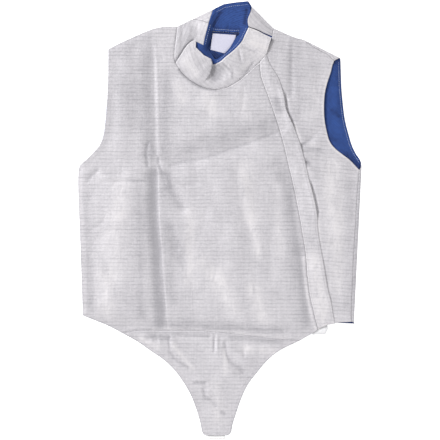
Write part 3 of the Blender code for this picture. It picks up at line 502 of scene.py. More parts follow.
def front_height(x, y):
    """The underside of the front, over the back and beyond its hem."""
    base = FRONT_HEIGHT * (1 - ease((back_hem_distance(x, y) - HEM_FADE_START) / HEM_FADE))
    base = np.maximum(base, over_box(x, y, ZIP_TAIL, TAIL_FADE))
    sewn = nearest(x, y, Line.side_r, Line.shoulder_r, Line.shoulder_l)
    held = np.minimum(sewn, nearest(x, y, Line.side_seam_l, Line.shoulder_seam_l, Line.hem_r,
                                    Line.crotch_seam, Line.hem_front, Line.hem_l))
    relief = PUFF_HEIGHT + folds_at(x, y, FRONT_FOLDS)
    relief += CREASE_RISE * bell(distance_to_run(x, y, Line.crease), CREASE_WIDTH)
    for ledge in (PRESSED, VALLEY, CHEST, PLACKET_FALL):
        relief += ledge_at(x, y, ledge)
    relief *= 1 - bell(held, PUFF_REACH)
    relief += (folds_at(x, y, FINE_FOLDS) + waves_at(x, y)) * (1 - bell(held, FINE_REACH))
    drop = (FRONT_HEIGHT - SEWN_HEIGHT) * bell(sewn, SEWN_REACH)
    return np.maximum(base - drop, 0) + np.clip(relief, 0, RELIEF_MOST)


def flat_at(level):
    return lambda x, y: np.full_like(x, level)


# %% [markdown]
# ## Hems and seams
# A hem is the cloth turned under and stitched, so it is twice as thick for a finger's width and
# dips along its stitches. A seam is a groove between two soft shoulders. Both go on the top side
# only, as a thin relief over the height.

# %% Relief of hems and seams
HEM_TURN, HEM_STEP, HEM_EASE = 8.5, 0.35, 1.6
STITCH_DIP, STITCH_DIP_WIDTH = 0.25, 1.0
SHOULDER_AT, SHOULDER_RISE, SHOULDER_WIDTH = 3.2, 0.12, 2.4
SEAM_DIP, SEAM_DIP_WIDTH = 0.22, 1.3
RIDGE_AT, RIDGE_RISE, RIDGE_WIDTH = 3.0, 0.5, 2.0


def hem_relief(away):
    """The step of the turned cloth and the dip along its stitches."""
    step = HEM_STEP * (1 - ease((away - HEM_TURN) / HEM_EASE))
    return step - STITCH_DIP * bell(away - HEM_TURN + HEM_EASE, STITCH_DIP_WIDTH)


def seam_relief(away):
    """A soft shoulder beside the seam's groove."""
    return SHOULDER_RISE * bell(away - SHOULDER_AT, SHOULDER_WIDTH) - SEAM_DIP * bell(away, SEAM_DIP_WIDTH)


def front_relief(x, y):
    hems = nearest(x, y, Line.armhole_r, Line.armhole_l, Line.hem_r, Line.hem_front, Line.hem_l)
    seams = nearest(x, y, Line.crotch_seam, Line.placket_seam, Line.side_seam_l, Line.shoulder_seam_l,
                    Line.neck_side, Line.neck_front)
    above = distance_to_run(x, y, Line.crotch_seam)
    return hem_relief(hems) + seam_relief(seams) + RIDGE_RISE * bell(above - RIDGE_AT, RIDGE_WIDTH)


def plain(x, y):
    return np.zeros_like(x)


# %% [markdown]
# ## Cloth that turns over an edge
# On the wearer's left the back wraps round the garment's edge and meets the front on top, and the
# collar's ends roll over. A flat pattern can't do that, so we let the pattern run on past the
# fold line and then bend its points round a small cylinder and back. A Bend modifier would turn
# the whole piece, and this turns only what lies past the line.

# %% Folding a pattern over
FOLD_STEPS = 8
FOLD_END_SLACK = 1.5
FOLD_LAND = 8.0
FULL_TURN_SLACK = 0.1


class FoldOver:
    """A straight fold, its inside on the right hand of the line from start to end."""

    def __init__(self, line, radius, height):
        (ax, ay), (bx, by) = line
        self.length = math.hypot(bx - ax, by - ay)
        self.along = np.array([bx - ax, by - ay]) / self.length
        self.out = np.array([-self.along[1], self.along[0]])
        self.radius = radius
        self.start = np.array([ax, ay]) - self.out * radius
        self.height = height

    def parts(self, points):
        away = np.asarray(points) - self.start
        return away @ self.along, away @ self.out

    def unfold(self, seen):
        """The flat pattern's points for points seen on the turned cloth."""
        along, out = self.parts(seen)
        turned = math.pi * self.radius - out
        return self.start + along[:, None] * self.along + turned[:, None] * self.out

    def bends(self):
        """Lines of the flat pattern along the bend."""
        for i in range(FOLD_STEPS + 1):
            shift = self.out * (math.pi * self.radius * i / FOLD_STEPS)
            ends = [self.start + shift, self.start + shift + self.along * self.length]
            yield straight(ends, 2 * LONG)

    def place(self, flat, spots, depth):
        """Moves the spots whose place in the flat pattern is past the fold."""
        along, out = self.parts(flat)
        full_turn = math.pi * self.radius
        beside = (along > -FOLD_END_SLACK) & (along < self.length + FOLD_END_SLACK)
        turned = (out > full_turn - FULL_TURN_SLACK) | (beside & (out > 0))
        angle = out / self.radius
        bend = turned & (out < full_turn)
        foot = self.start + along[:, None] * self.along
        arm = self.radius - depth
        spots[bend, :2] = (foot + (arm * np.sin(angle))[:, None] * self.out)[bend]
        spots[bend, 2] = (self.radius - arm * np.cos(angle))[bend]
        flat_on = turned & ~bend
        back_by = out - full_turn
        seen = foot - back_by[:, None] * self.out
        rise = self.height(seen[:, 0], seen[:, 1]) + CLOTH - 2 * self.radius
        spots[flat_on, :2] = seen[flat_on]
        spots[flat_on, 2] = (2 * self.radius - depth + rise * ease(back_by / FOLD_LAND))[flat_on]


# %% [markdown]
# ## From a pattern to a piece of cloth
# Each piece is a closed thin wall: a top, an underside, and a rim with one more ring of points on
# its outermost line, so that the cut edge looks rolled and not sliced. The pattern is filled by a
# constrained Delaunay triangulation, which keeps every edge and crease line we ask for. A grid
# cut by a Boolean would leave slivers, and the Solidify modifier would not know about the hem.

# %% The pattern's triangles
SEAM_GAP = 0.08
RIM = 0.12
SUPPORT = 1.3
FINE = 1.0
GRID_CLEARANCE = 0.55
MERGE_WITHIN = 1e-5


def pattern(loop, grid, lines=(), hole=None):
    """Triangles over an outline: its own points, those of its lines, and a grid inside."""
    chains = [(loop, True), (inset(loop, SUPPORT), True)] + [(line, False) for line in lines]
    if hole is not None:
        chains.append((hole, True))
    points, edges = [], []
    for chain, closed in chains:
        first = len(points)
        points.extend(chain)
        edges.extend((first + i, first + i + 1) for i in range(len(chain) - 1))
        if closed:
            edges.append((first + len(chain) - 1, first))
    (x0, y0), (x1, y1) = loop.min(axis=0), loop.max(axis=0)
    gx, gy = np.meshgrid(np.arange(x0, x1, grid), np.arange(y0, y1, grid))
    gx[1::2] += grid / 2
    gx, gy = gx.ravel(), gy.ravel()
    clear = inside(gx, gy, loop)
    gx, gy = gx[clear], gy[clear]
    clear = np.ones(len(gx), dtype=bool)
    for chain, closed in chains:
        run = np.concatenate([chain, chain[:1]]) if closed else chain
        clear &= distance_to_run(gx, gy, run) > GRID_CLEARANCE * grid
    points.extend(np.column_stack([gx, gy])[clear])
    result = delaunay_2d_cdt([Vector(p) for p in points], edges, [], 0, MERGE_WITHIN)
    flat = np.array([tuple(v) for v in result[0]])
    faces = np.array([face for face in result[2] if len(face) == 3])
    middle = flat[faces].mean(axis=1)
    keep = inside(middle[:, 0], middle[:, 1], loop)
    if hole is not None:
        keep &= ~inside(middle[:, 0], middle[:, 1], hole)
    used, faces = np.unique(faces[keep], return_inverse=True)
    flat, faces = flat[used], faces.reshape(-1, 3)
    (ax, ay), (bx, by), (cx, cy) = (flat[faces[:, i]].T for i in range(3))
    clockwise = (bx - ax) * (cy - ay) - (by - ay) * (cx - ax) < 0
    faces[clockwise] = faces[clockwise][:, ::-1]
    return flat, faces


def open_edges(flat, faces):
    """The pattern's open edges, and how far each point's rim reaches out from it."""
    edges = np.concatenate([faces[:, [0, 1]], faces[:, [1, 2]], faces[:, [2, 0]]])
    count = len(flat)
    twins = edges[:, 1] * count + edges[:, 0]
    edges = edges[~np.isin(edges[:, 0] * count + edges[:, 1], twins)]
    along = flat[edges[:, 1]] - flat[edges[:, 0]]
    side = np.column_stack([along[:, 1], -along[:, 0]]) / np.linalg.norm(along, axis=1)[:, None]
    out = np.zeros_like(flat)
    np.add.at(out, edges[:, 0], side)
    np.add.at(out, edges[:, 1], side)
    length = np.maximum(np.linalg.norm(out, axis=1), MITRE_LEAST)
    return edges, 2 * out / length[:, None] ** 2


# %% [markdown]
# A piece also carries what its material needs: a UV map in metres of cloth, so that the woven
# stripe follows the cloth's own threads, and a number per point, above zero where the cloth is
# rubbed pale and where a highlight is painted, below zero where shade is painted into creases,
# gaps, hollows and along edges. Both are stored in the mesh, because a projected pattern would
# not follow a fold.

# %% The cloth maker
Layer = namedtuple("Layer", "height wall relief")
STEEPEST = 1.8


def steepness(height, x, y):
    """How much longer a vertical cut through a sloping wall is than its thickness."""
    dx = (height(x + 1, y) - height(x - 1, y)) / 2
    dy = (height(x, y + 1) - height(x, y - 1)) / 2
    return np.minimum(np.sqrt(1 + dx ** 2 + dy ** 2), STEEPEST)


def top_of(layer, x, y):
    return layer.height(x, y) + layer.wall * steepness(layer.height, x, y) + layer.relief(x, y)


def straight_grain(degrees):
    """Cloth whose stripes run straight, at this angle from X."""
    c, s = math.cos(math.radians(degrees)), math.sin(math.radians(degrees))
    return lambda x, y: np.column_stack([x * c + y * s, y * c - x * s])


def round_grain(centre, radius):
    """Cloth whose stripes run round a centre, at their true length on the radius."""
    return lambda x, y: np.column_stack([radius * np.arctan2(y - centre[1], x - centre[0]),
                                         np.hypot(x - centre[0], y - centre[1])])


def cloth(name, loop, layer, grid, skins, grain, lines=(), hole=None, folds=(), worn=(), rim_skin=0):
    """A piece of cloth: a closed wall over its outline. The second skin is its underside's."""
    bends = [line for fold in folds for line in fold.bends()]
    flat, faces = pattern(inset(loop, SEAM_GAP / 2 + RIM), grid * FINE, [*lines, *bends], hole)
    edges, out = open_edges(flat, faces)
    rim = np.unique(edges)
    x, y = flat.T
    low = np.column_stack([x, y, layer.height(x, y)])
    high = np.column_stack([x, y, top_of(layer, x, y)])
    middle = (low + high)[rim] / 2
    rim_flat = flat[rim] + RIM * out[rim]
    middle[:, :2] = rim_flat
    for fold in folds:
        fold.place(flat, low, np.zeros(len(flat)))
        fold.place(flat, high, np.full(len(flat), layer.wall))
        fold.place(rim_flat, middle, np.full(len(rim), layer.wall / 2))
    count = len(flat)
    rim_index = np.zeros(count, dtype=int)
    rim_index[rim] = 2 * count + np.arange(len(rim))
    a, b = edges.T
    ma, mb = rim_index[a], rim_index[b]
    sides = np.concatenate([np.column_stack(triangle) for triangle in (
        (a, b, mb), (a, mb, ma), (ma, mb, b + count), (ma, b + count, a + count))])
    walls = np.concatenate([faces + count, faces[:, ::-1], sides])
    mesh = bpy.data.meshes.new(name)
    mesh.from_pydata((np.concatenate([low, high, middle]) * MM).tolist(), [], walls.tolist())
    for skin in skins:
        mesh.materials.append(skin)
    skin_of = np.zeros(len(walls), dtype=int)
    skin_of[len(faces):2 * len(faces)] = len(skins) - 1
    skin_of[2 * len(faces):] = rim_skin
    mesh.polygons.foreach_set("material_index", skin_of)
    cut = np.concatenate([flat, flat, rim_flat])
    corners = np.empty(len(mesh.loops), dtype=int)
    mesh.loops.foreach_get("vertex_index", corners)
    threads = mesh.uv_layers.new(name="threads")
    threads.data.foreach_set("uv", (grain(cut[:, 0], cut[:, 1]) * MM)[corners].ravel())
    # Rubbed wear, painted highlights and painted shade, one number per point
    rubbed_and_painted_light = mesh.attributes.new("worn", "FLOAT", "POINT")
    rubbed_and_painted_light.data.foreach_set("value", np.clip(folds_at(cut[:, 0], cut[:, 1], worn), -1, 1))
    mesh.shade_smooth()
    piece = bpy.data.objects.new(name, mesh)
    bpy.context.scene.collection.objects.link(piece)
    return piece


# %% Sewing a piece into the frame
TURN_STEP = 3


def flat_size(loop, hole=None):
    """The smallest rectangle that the cut fits in, and the cut's area, in metres."""
    boxes = []
    for degrees in range(0, 90, TURN_STEP):
        turned = straight_grain(degrees)(*loop.T)
        boxes.append(turned.max(axis=0) - turned.min(axis=0))
    width, length = sorted(min(boxes, key=np.prod) * MM)
    area = abs(signed_area(loop)) - (0 if hole is None else abs(signed_area(hole)))
    return (float(width), float(length)), area * MM ** 2


def sew(name, node, slot, rests_on, loop, layer, hole=None, **cut):
    """A piece of cloth in place of the frame's part, which is hidden, with the size of its cut printed."""
    piece = cloth(name, loop, layer, hole=hole, **cut)
    flat, area = flat_size(loop, hole)
    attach(piece, BODY)
    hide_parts(node)
    print(f"{node}: cut {flat[0] * 1000:.0f} x {flat[1] * 1000:.0f} mm, {area * 1e4:.0f} cm2, "
          f"{len(piece.data.polygons)} triangles")


# %% [markdown]
# ## Materials
# Blender works in linear light and a colour picker in sRGB, so one function turns the hex values
# we matched into linear colours. One more adds a node with its settings and links. All
# pattern sizes below are real ones in metres, because the UV map is in metres too.

# %% Colour and node helpers
def linear(colour):
    """An sRGB hex colour as a linear one."""
    parts = [int(colour[i:i + 2], 16) / 255 for i in (0, 2, 4)]
    return (*[part / 12.92 if part <= 0.04045 else ((part + 0.055) / 1.055) ** 2.4 for part in parts], 1)


def set_inputs(tree, node, inputs):
    """Gives each input a value, or a link from another node's output."""
    for name, value in inputs.items():
        if isinstance(value, bpy.types.NodeSocket):
            tree.links.new(value, node.inputs[name])
        else:
            node.inputs[name].default_value = value


def add(tree, kind, inputs=None, **settings):
    """Adds a node with its settings and its inputs."""
    node = tree.nodes.new(kind)
    for name, value in settings.items():
        setattr(node, name, value)
    set_inputs(tree, node, inputs or {})
    return node


def blank_material(name):
    """A new material, its tree and its surface shader."""
    material = bpy.data.materials.new(name)
    material.use_nodes = True
    return material, material.node_tree, material.node_tree.nodes["Principled BSDF"]


# A wave texture's bands are this long at scale 1
WAVE_LENGTH = math.pi / 10

# %% [markdown]
# ### Lamé
# The outer cloth is polyester woven with fine stainless steel thread, a plain weave with a
# slightly thicker cross thread every few millimetres that shows as a faint darker stripe. It is
# only partly metallic, matt, and rubs pale on its crowns. Its threads are a quarter of a
# millimetre, too fine for a picture this size, so the weave is drawn about seven times coarser.
# Real weaving is uneven at many sizes at once, so several noises are added up, each one stretched
# to its own size across and down the cloth.

# %% Woven steel-thread lamé
STRIPE = 0.00665
TONE_START = -0.46
Grain = namedtuple("Grain", "across down detail roughness distortion")
GRAINS = {
    "dashes": Grain(0.045, 0.007, 3.0, 0.7, 0.9),
    "streaks": Grain(0.0045, 0.09, 3.0, 0.6, 1.2),
    "weft": Grain(0.014, 0.0017, 2.0, 0.6, 0.8),
    "flecks": Grain(0.0036, 0.0036, 3.0, 0.7, 0.7),
    "clouds": Grain(1 / 24, 1 / 24, 4.0, 0.55, 0.6),
    "crinkle": Grain(0.0085, 0.0085, 4.0, 0.65, 1.4),
    "patches": Grain(0.013, 0.034, 6.0, 0.65, 1.0),
}


def woven_lame(name, stripe_depth, shade="9D9BA0", pale="D2CFD3", rubbed_and_painted_light="D9D5D4"):
    """Partly metallic matt cloth with a broken cross stripe, long streaks, rubbed patches, painted highlights
    and painted shade.
    """
    material, tree, surface = blank_material(name)
    threads = add(tree, "ShaderNodeUVMap", uv_map="threads").outputs["UV"]
    grain = {}
    for part, size in GRAINS.items():
        drawn_out = add(tree, "ShaderNodeMapping", {
            "Vector": threads, "Scale": (1 / size.across, 1 / size.down, 1)}).outputs["Vector"]
        grain[part] = add(tree, "ShaderNodeTexNoise", {
            "Vector": drawn_out, "Scale": 1.0, "Detail": size.detail, "Roughness": size.roughness,
            "Distortion": size.distortion}).outputs["Fac"]

    # The stripe is a wave across the cloth, broken into dashes
    bars = add(tree, "ShaderNodeTexWave", {
        "Vector": threads, "Scale": WAVE_LENGTH / STRIPE, "Distortion": 1.5, "Detail": 2.0,
        "Detail Scale": 1.1}, bands_direction="Y").outputs["Fac"]
    crest = add(tree, "ShaderNodeMapRange", {"Value": bars, "From Min": 0.52, "From Max": 1.0})
    broken = add(tree, "ShaderNodeMapRange", {"Value": grain["dashes"], "From Min": 0.32, "From Max": 0.62})
    stripe = add(tree, "ShaderNodeMath", {0: crest.outputs["Result"], 1: broken.outputs["Result"]},
                 operation="MULTIPLY").outputs[0]

    # Rubbed places and painted highlights are ragged, and painted shade is even
    worn = add(tree, "ShaderNodeAttribute", attribute_name="worn").outputs["Fac"]
    ragged = add(tree, "ShaderNodeMapRange", {
        "Value": grain["patches"], "From Min": 0.3, "From Max": 0.7, "To Min": 0.0, "To Max": 1.2})
    pale_part = add(tree, "ShaderNodeMath", {0: worn, 1: 0.0}, operation="MAXIMUM")
    dark_part = add(tree, "ShaderNodeMath", {0: worn, 1: 0.0}, operation="MINIMUM")
    change = add(tree, "ShaderNodeMath", {
        0: pale_part.outputs[0], 1: ragged.outputs["Result"], 2: dark_part.outputs[0]},
        operation="MULTIPLY_ADD").outputs[0]

    tone = TONE_START
    for part, share in ((grain["streaks"], 0.42), (grain["clouds"], 0.55), (grain["weft"], 0.5),
                        (grain["flecks"], 0.75), (stripe, -stripe_depth)):
        tone = add(tree, "ShaderNodeMath", {0: part, 1: share, 2: tone},
                   operation="MULTIPLY_ADD").outputs[0]
    tone = add(tree, "ShaderNodeMath", {0: change, 1: 0.6, 2: tone}, operation="MULTIPLY_ADD", use_clamp=True)
    woven = add(tree, "ShaderNodeMix", {"Factor": tone.outputs[0], 6: linear(shade), 7: linear(pale)},
                data_type="RGBA")
    # The pale colour of rubbed wear and of painted highlights
    pale_wear_and_highlight = add(tree, "ShaderNodeMath", {0: change, 1: 0.55}, operation="MULTIPLY", use_clamp=True)
    colour = add(tree, "ShaderNodeMix", {"Factor": pale_wear_and_highlight.outputs[0], 6: woven.outputs[2], 7: linear(rubbed_and_painted_light)},
                 data_type="RGBA")

    raised = grain["crinkle"]
    for part, share in ((grain["weft"], 0.16), (bars, 0.08)):
        raised = add(tree, "ShaderNodeMath", {0: part, 1: share, 2: raised},
                     operation="MULTIPLY_ADD").outputs[0]
    bump = add(tree, "ShaderNodeBump", {"Height": raised, "Strength": 0.6, "Distance": 0.0009})
    dull = add(tree, "ShaderNodeMapRange", {"Value": grain["clouds"], "To Min": 0.5, "To Max": 0.64})
    set_inputs(tree, surface, {
        "Base Color": colour.outputs[2], "Roughness": dull.outputs["Result"],
        "Normal": bump.outputs["Normal"], "Metallic": 0.25, "Sheen Weight": 0.08, "Sheen Roughness": 0.5})
    return material


lame = woven_lame("woven_steel_thread_lame", 0.34)
collar_lame = woven_lame("woven_steel_thread_lame_on_the_bias", 0.2)
print("stripe:", STRIPE * 1000, "mm")

# %% [markdown]
# ### Cotton lining
# The inside is a royal blue cotton twill: fine diagonal ribs, a soft nap that catches light at
# grazing angles, and tiny paler fibres. Dyed cotton has no metal and hardly any gloss, so almost
# all of its look is colour and sheen. Its ribs are drawn about three times their real spacing.

# %% Blue cotton twill
TWILL_RIB = 0.0024
LINT = 0.004


def cotton_twill(name, deep="101F48", lit="2E4C8C"):
    """Matt dyed cotton with diagonal ribs, a light nap, and painted shade in its creases and under edges."""
    material, tree, surface = blank_material(name)
    threads = add(tree, "ShaderNodeUVMap", uv_map="threads")
    ribs = add(tree, "ShaderNodeTexWave", {
        "Vector": threads.outputs["UV"], "Scale": WAVE_LENGTH / TWILL_RIB, "Distortion": 1.5,
        "Detail": 2.0}, bands_direction="DIAGONAL")
    lint = add(tree, "ShaderNodeTexNoise", {
        "Vector": threads.outputs["UV"], "Scale": 1 / LINT, "Detail": 5.0, "Roughness": 0.65})
    tone = add(tree, "ShaderNodeMath", {0: ribs.outputs["Fac"], 1: 0.22, 2: lint.outputs["Fac"]},
               operation="MULTIPLY_ADD")
    worn = add(tree, "ShaderNodeAttribute", attribute_name="worn")
    tone_and_painted_light = add(tree, "ShaderNodeMath", {0: worn.outputs["Fac"], 1: 0.5, 2: tone.outputs[0]},
                operation="MULTIPLY_ADD")
    spread = add(tree, "ShaderNodeMapRange", {"Value": tone_and_painted_light.outputs[0], "From Min": 0.1, "From Max": 0.9})
    colour = add(tree, "ShaderNodeMix", {"Factor": spread.outputs["Result"], 6: linear(deep), 7: linear(lit)},
                 data_type="RGBA")
    bump = add(tree, "ShaderNodeBump", {"Height": tone.outputs[0], "Strength": 0.5, "Distance": 0.0005})
    set_inputs(tree, surface, {
        "Base Color": colour.outputs[2], "Normal": bump.outputs["Normal"], "Roughness": 0.85,
        "Specular IOR Level": 0.3, "Sheen Weight": 0.12, "Sheen Roughness": 0.6,
        "Sheen Tint": linear("9FB4E8")})
    return material


twill = cotton_twill("blue_cotton_twill")

# %% [markdown]
# ### Label, webbing and thread
# The label is white polyester satin, smooth and a little glossy. The elastic at the strap's end
# and the zip's tape are white knitted and woven web with lengthways ribs. Spun polyester thread
# sews it all, grey on the silver cloth and pale blue on the lining. One recipe serves all: a pale
# colour, ribs of a real pitch, and a nap of noise.

# %% White webs and thread
SATIN_RIB = 0.0011
WEB_RIB = 0.0016
TAPE_RIB = 0.0012
THREAD_TWIST = 0.0009


def ribbed_web(name, deep, lit, rib, relief, roughness, sheen):
    """Pale ribbed textile, its ribs along the cloth's length."""
    material, tree, surface = blank_material(name)
    threads = add(tree, "ShaderNodeTexCoord")
    ribs = add(tree, "ShaderNodeTexWave", {
        "Vector": threads.outputs["Object"], "Scale": WAVE_LENGTH / rib, "Distortion": 0.8,
        "Detail": 2.0}, bands_direction="X")
    nap = add(tree, "ShaderNodeTexNoise", {
        "Vector": threads.outputs["Object"], "Scale": 0.5 / rib, "Detail": 4.0, "Roughness": 0.6})
    tone = add(tree, "ShaderNodeMath", {0: ribs.outputs["Fac"], 1: 0.4, 2: nap.outputs["Fac"]},
               operation="MULTIPLY_ADD")
    # The edges of the elastic and the zip tape get painted shade from this number
    worn = add(tree, "ShaderNodeAttribute", attribute_name="worn")
    tone = add(tree, "ShaderNodeMath", {0: worn.outputs["Fac"], 1: 1.0, 2: tone.outputs[0]},
               operation="MULTIPLY_ADD")
    spread = add(tree, "ShaderNodeMapRange", {"Value": tone.outputs[0], "From Min": 0.3, "From Max": 1.0})
    colour = add(tree, "ShaderNodeMix", {"Factor": spread.outputs["Result"], 6: linear(deep), 7: linear(lit)},
                 data_type="RGBA")
    bump = add(tree, "ShaderNodeBump", {"Height": tone.outputs[0], "Strength": 0.6, "Distance": relief})
    set_inputs(tree, surface, {
        "Base Color": colour.outputs[2], "Normal": bump.outputs["Normal"], "Roughness": roughness,
        "Sheen Weight": sheen})
    return material


satin = ribbed_web("white_polyester_satin", "B8B7CA", "CBCAD9", SATIN_RIB, 0.00008, 0.42, 0.1)
web = ribbed_web("knitted_white_elastic", "D8D9D8", "F6F5F5", WEB_RIB, 0.0004, 0.75, 0.15)
tape = ribbed_web("woven_white_zip_tape", "C6C6C8", "EAE9EB", TAPE_RIB, 0.0003, 0.7, 0.1)
blue_thread = ribbed_web("pale_blue_polyester_thread", "9DA8C4", "C2CADE", THREAD_TWIST, 0.00006, 0.45, 0.05)
grey_thread = ribbed_web("grey_spun_polyester_thread", "ABA9AE", "C8C6CA", THREAD_TWIST, 0.00006, 0.45, 0.05)
print("materials:", [material.name for material in bpy.data.materials])

# %% [markdown]
# ## The back
# The back panel lies outer face down, so what we see of it is its left edge, where it wraps over
# to meet the front at the side and at the shoulder. Its blue lining shows in the left armhole.
# The back is flat where it rests, and the lining has a few puckers where it shows. Nothing else
# of the two can be seen, so they need no creases of their own.

# %% Back panel
def back_outline(left_side, left_shoulder):
    """The back's outline, with these runs for its two edges on the wearer's left."""
    return joined(back(Line.shoulder_r), Line.armhole_r, Line.side_r, Line.back_hem, left_side,
                  Line.back_armhole_l, left_shoulder, Line.shoulder_l, back(Line.back_neck))


side_turn = FoldOver(SIDE_FOLD_L, SIDE_FOLD_RADIUS, flat_at(FRONT_HEIGHT))
shoulder_turn = FoldOver(SHOULDER_FOLD_L, SIDE_FOLD_RADIUS, flat_at(FRONT_HEIGHT))
side_flap = side_turn.unfold(Line.side_seam_l)
shoulder_flap = shoulder_turn.unfold(Line.shoulder_seam_l[:-1])
back_loop = back_outline(np.array([BACK_HEM[1], *side_flap, SIDE_FOLD_L[0]]),
                         np.array([SHOULDER_FOLD_L[1], *shoulder_flap, Line.shoulder_l[0]]))
# The turned strip at the side gets painted shade along its length
sew("back_panel", "back_shell", "silver_cloth", ["floor"], back_loop, Layer(flat_at(0.0), CLOTH, plain),
    grid=9, skins=[twill, lame], grain=straight_grain(0), folds=[side_turn, shoulder_turn],
    worn=[Fold(262, 99, 249, -185, 9, -0.5)], rim_skin=1)

# %% Puckers in the lining
LINING_FOLDS = [
    Fold(196, 226, 220, 232, 5, 1.1),
    Fold(198, 199, 220, 183, 3.0, 1.4),
    Fold(204, 190, 222, 172, 4, 0.8),
    Fold(190, 154, 212, 142, 3.0, 1.2),
    Fold(200, 166, 224, 156, 5, 1.0),
    Fold(212, 132, 236, 118, 4, 1.0),
    Fold(200, 258, 214, 250, 4, 0.9),
    Fold(206, 280, 214, 268, 3, 0.8),
]


def back_lining_height(x, y):
    """Flat on the back, with a few puckers where the armhole shows it."""
    return LINING_HEIGHT + np.maximum(folds_at(x, y, LINING_FOLDS), 0)


# %% Back lining
LINING_OPEN_INSET = 0.6
LINING_SEWN_INSET = 13.0
LINING_FOLD_INSET = 3.5
LINING_PEEP = 1.3
SEWN_TAPER = 12.0
ON_THE_FOLD = 1.0
# Where the lining peeps out: below the hem on the left, and in a stretch of the right armhole
PEEP_HEM_X, PEEP_HEM_Y = 200, -180
PEEP_ARMHOLE_X, PEEP_ARMHOLE_LOW, PEEP_ARMHOLE_HIGH = -200, 145, 215
unturned = back_outline(straight(SIDE_FOLD_L[::-1], 2 * LONG),
                        np.array([*straight(SHOULDER_FOLD_L[::-1], 2 * LONG), Line.shoulder_l[0]]))
lx, ly = unturned.T
sewn_away = nearest(lx, ly, Line.side_r, Line.shoulder_r, Line.shoulder_l)
margin = LINING_OPEN_INSET + (LINING_SEWN_INSET - LINING_OPEN_INSET) * (1 - ease(sewn_away / SEWN_TAPER))
turned = nearest(lx, ly, SIDE_FOLD_L, SHOULDER_FOLD_L) < ON_THE_FOLD
margin = np.where(turned, np.maximum(margin, LINING_FOLD_INSET), margin)
margin = np.where((lx > PEEP_HEM_X) & (ly < PEEP_HEM_Y), -LINING_PEEP, margin)
in_armhole = (lx < PEEP_ARMHOLE_X) & (ly > PEEP_ARMHOLE_LOW) & (ly < PEEP_ARMHOLE_HIGH)
margin = np.where(in_armhole, -LINING_PEEP / 2, margin)
lining_loop = inset(unturned, margin)
BACK_LINING = Layer(back_lining_height, LINING, plain)
# Painted shade in the lining's creases, under the front's armhole edge, at the peeping hem and round the
# label, with a few paler spots on the puckers
LINING_PAINTED_SHADE_AND_PALE_SPOTS = [
    Fold(214, 276, 216, 200, 7, -0.35),
    Fold(188, 240, 186, 170, 4, -0.5),
    Fold(226, 112, 254, 88, 9, -0.9),
    Fold(201, -187, 242, -187, 4, -1.0),
    Fold(204, 284, 216, 290, 6, -0.9),
    Fold(200, 198, 220, 182, 2.5, -0.6),
    Fold(192, 152, 210, 142, 2.5, -0.5),
    Fold(208, 234, 206, 206, 6, 0.3),
    Fold(206, 178, 212, 160, 7, 0.3),
    Fold(-20, 326, -6, 290, 5, -0.9),
    Fold(-10, 292, 6, 296, 6, -0.6),
    Fold(30, 334, 12, 304, 5, -0.8),
    Fold(-14, 336, 34, 333, 3.5, -0.9),
]
sew("back_lining_panel", "back_lining", "blue_lining", ["back_panel"], lining_loop, BACK_LINING,
    grid=4.5, skins=[twill], grain=straight_grain(0), worn=LINING_PAINTED_SHADE_AND_PALE_SPOTS)

# %% [markdown]
# ## The front panels
# The right front runs from the side to the placket's seam and carries the pressed crease. The
# left front is a narrow panel that continues a little way under the placket. A second table says
# where the cloth is rubbed pale and where a highlight is painted, above zero, and where shade is
# painted into creases, gaps and along edges, below it. The undersides are blue, since the real
# front is lined too, and its lining shows only from the side.

# %% Rubbed places, painted light and the right front
# These lines carry painted light: a highlight along the front's hem over the crotch seam and along the
# pressed crease's crest, and the collar's shadow painted onto the front
HEM_LIGHT_ASIDE = 2.4
NECK_SHADE_ASIDE = -1.5
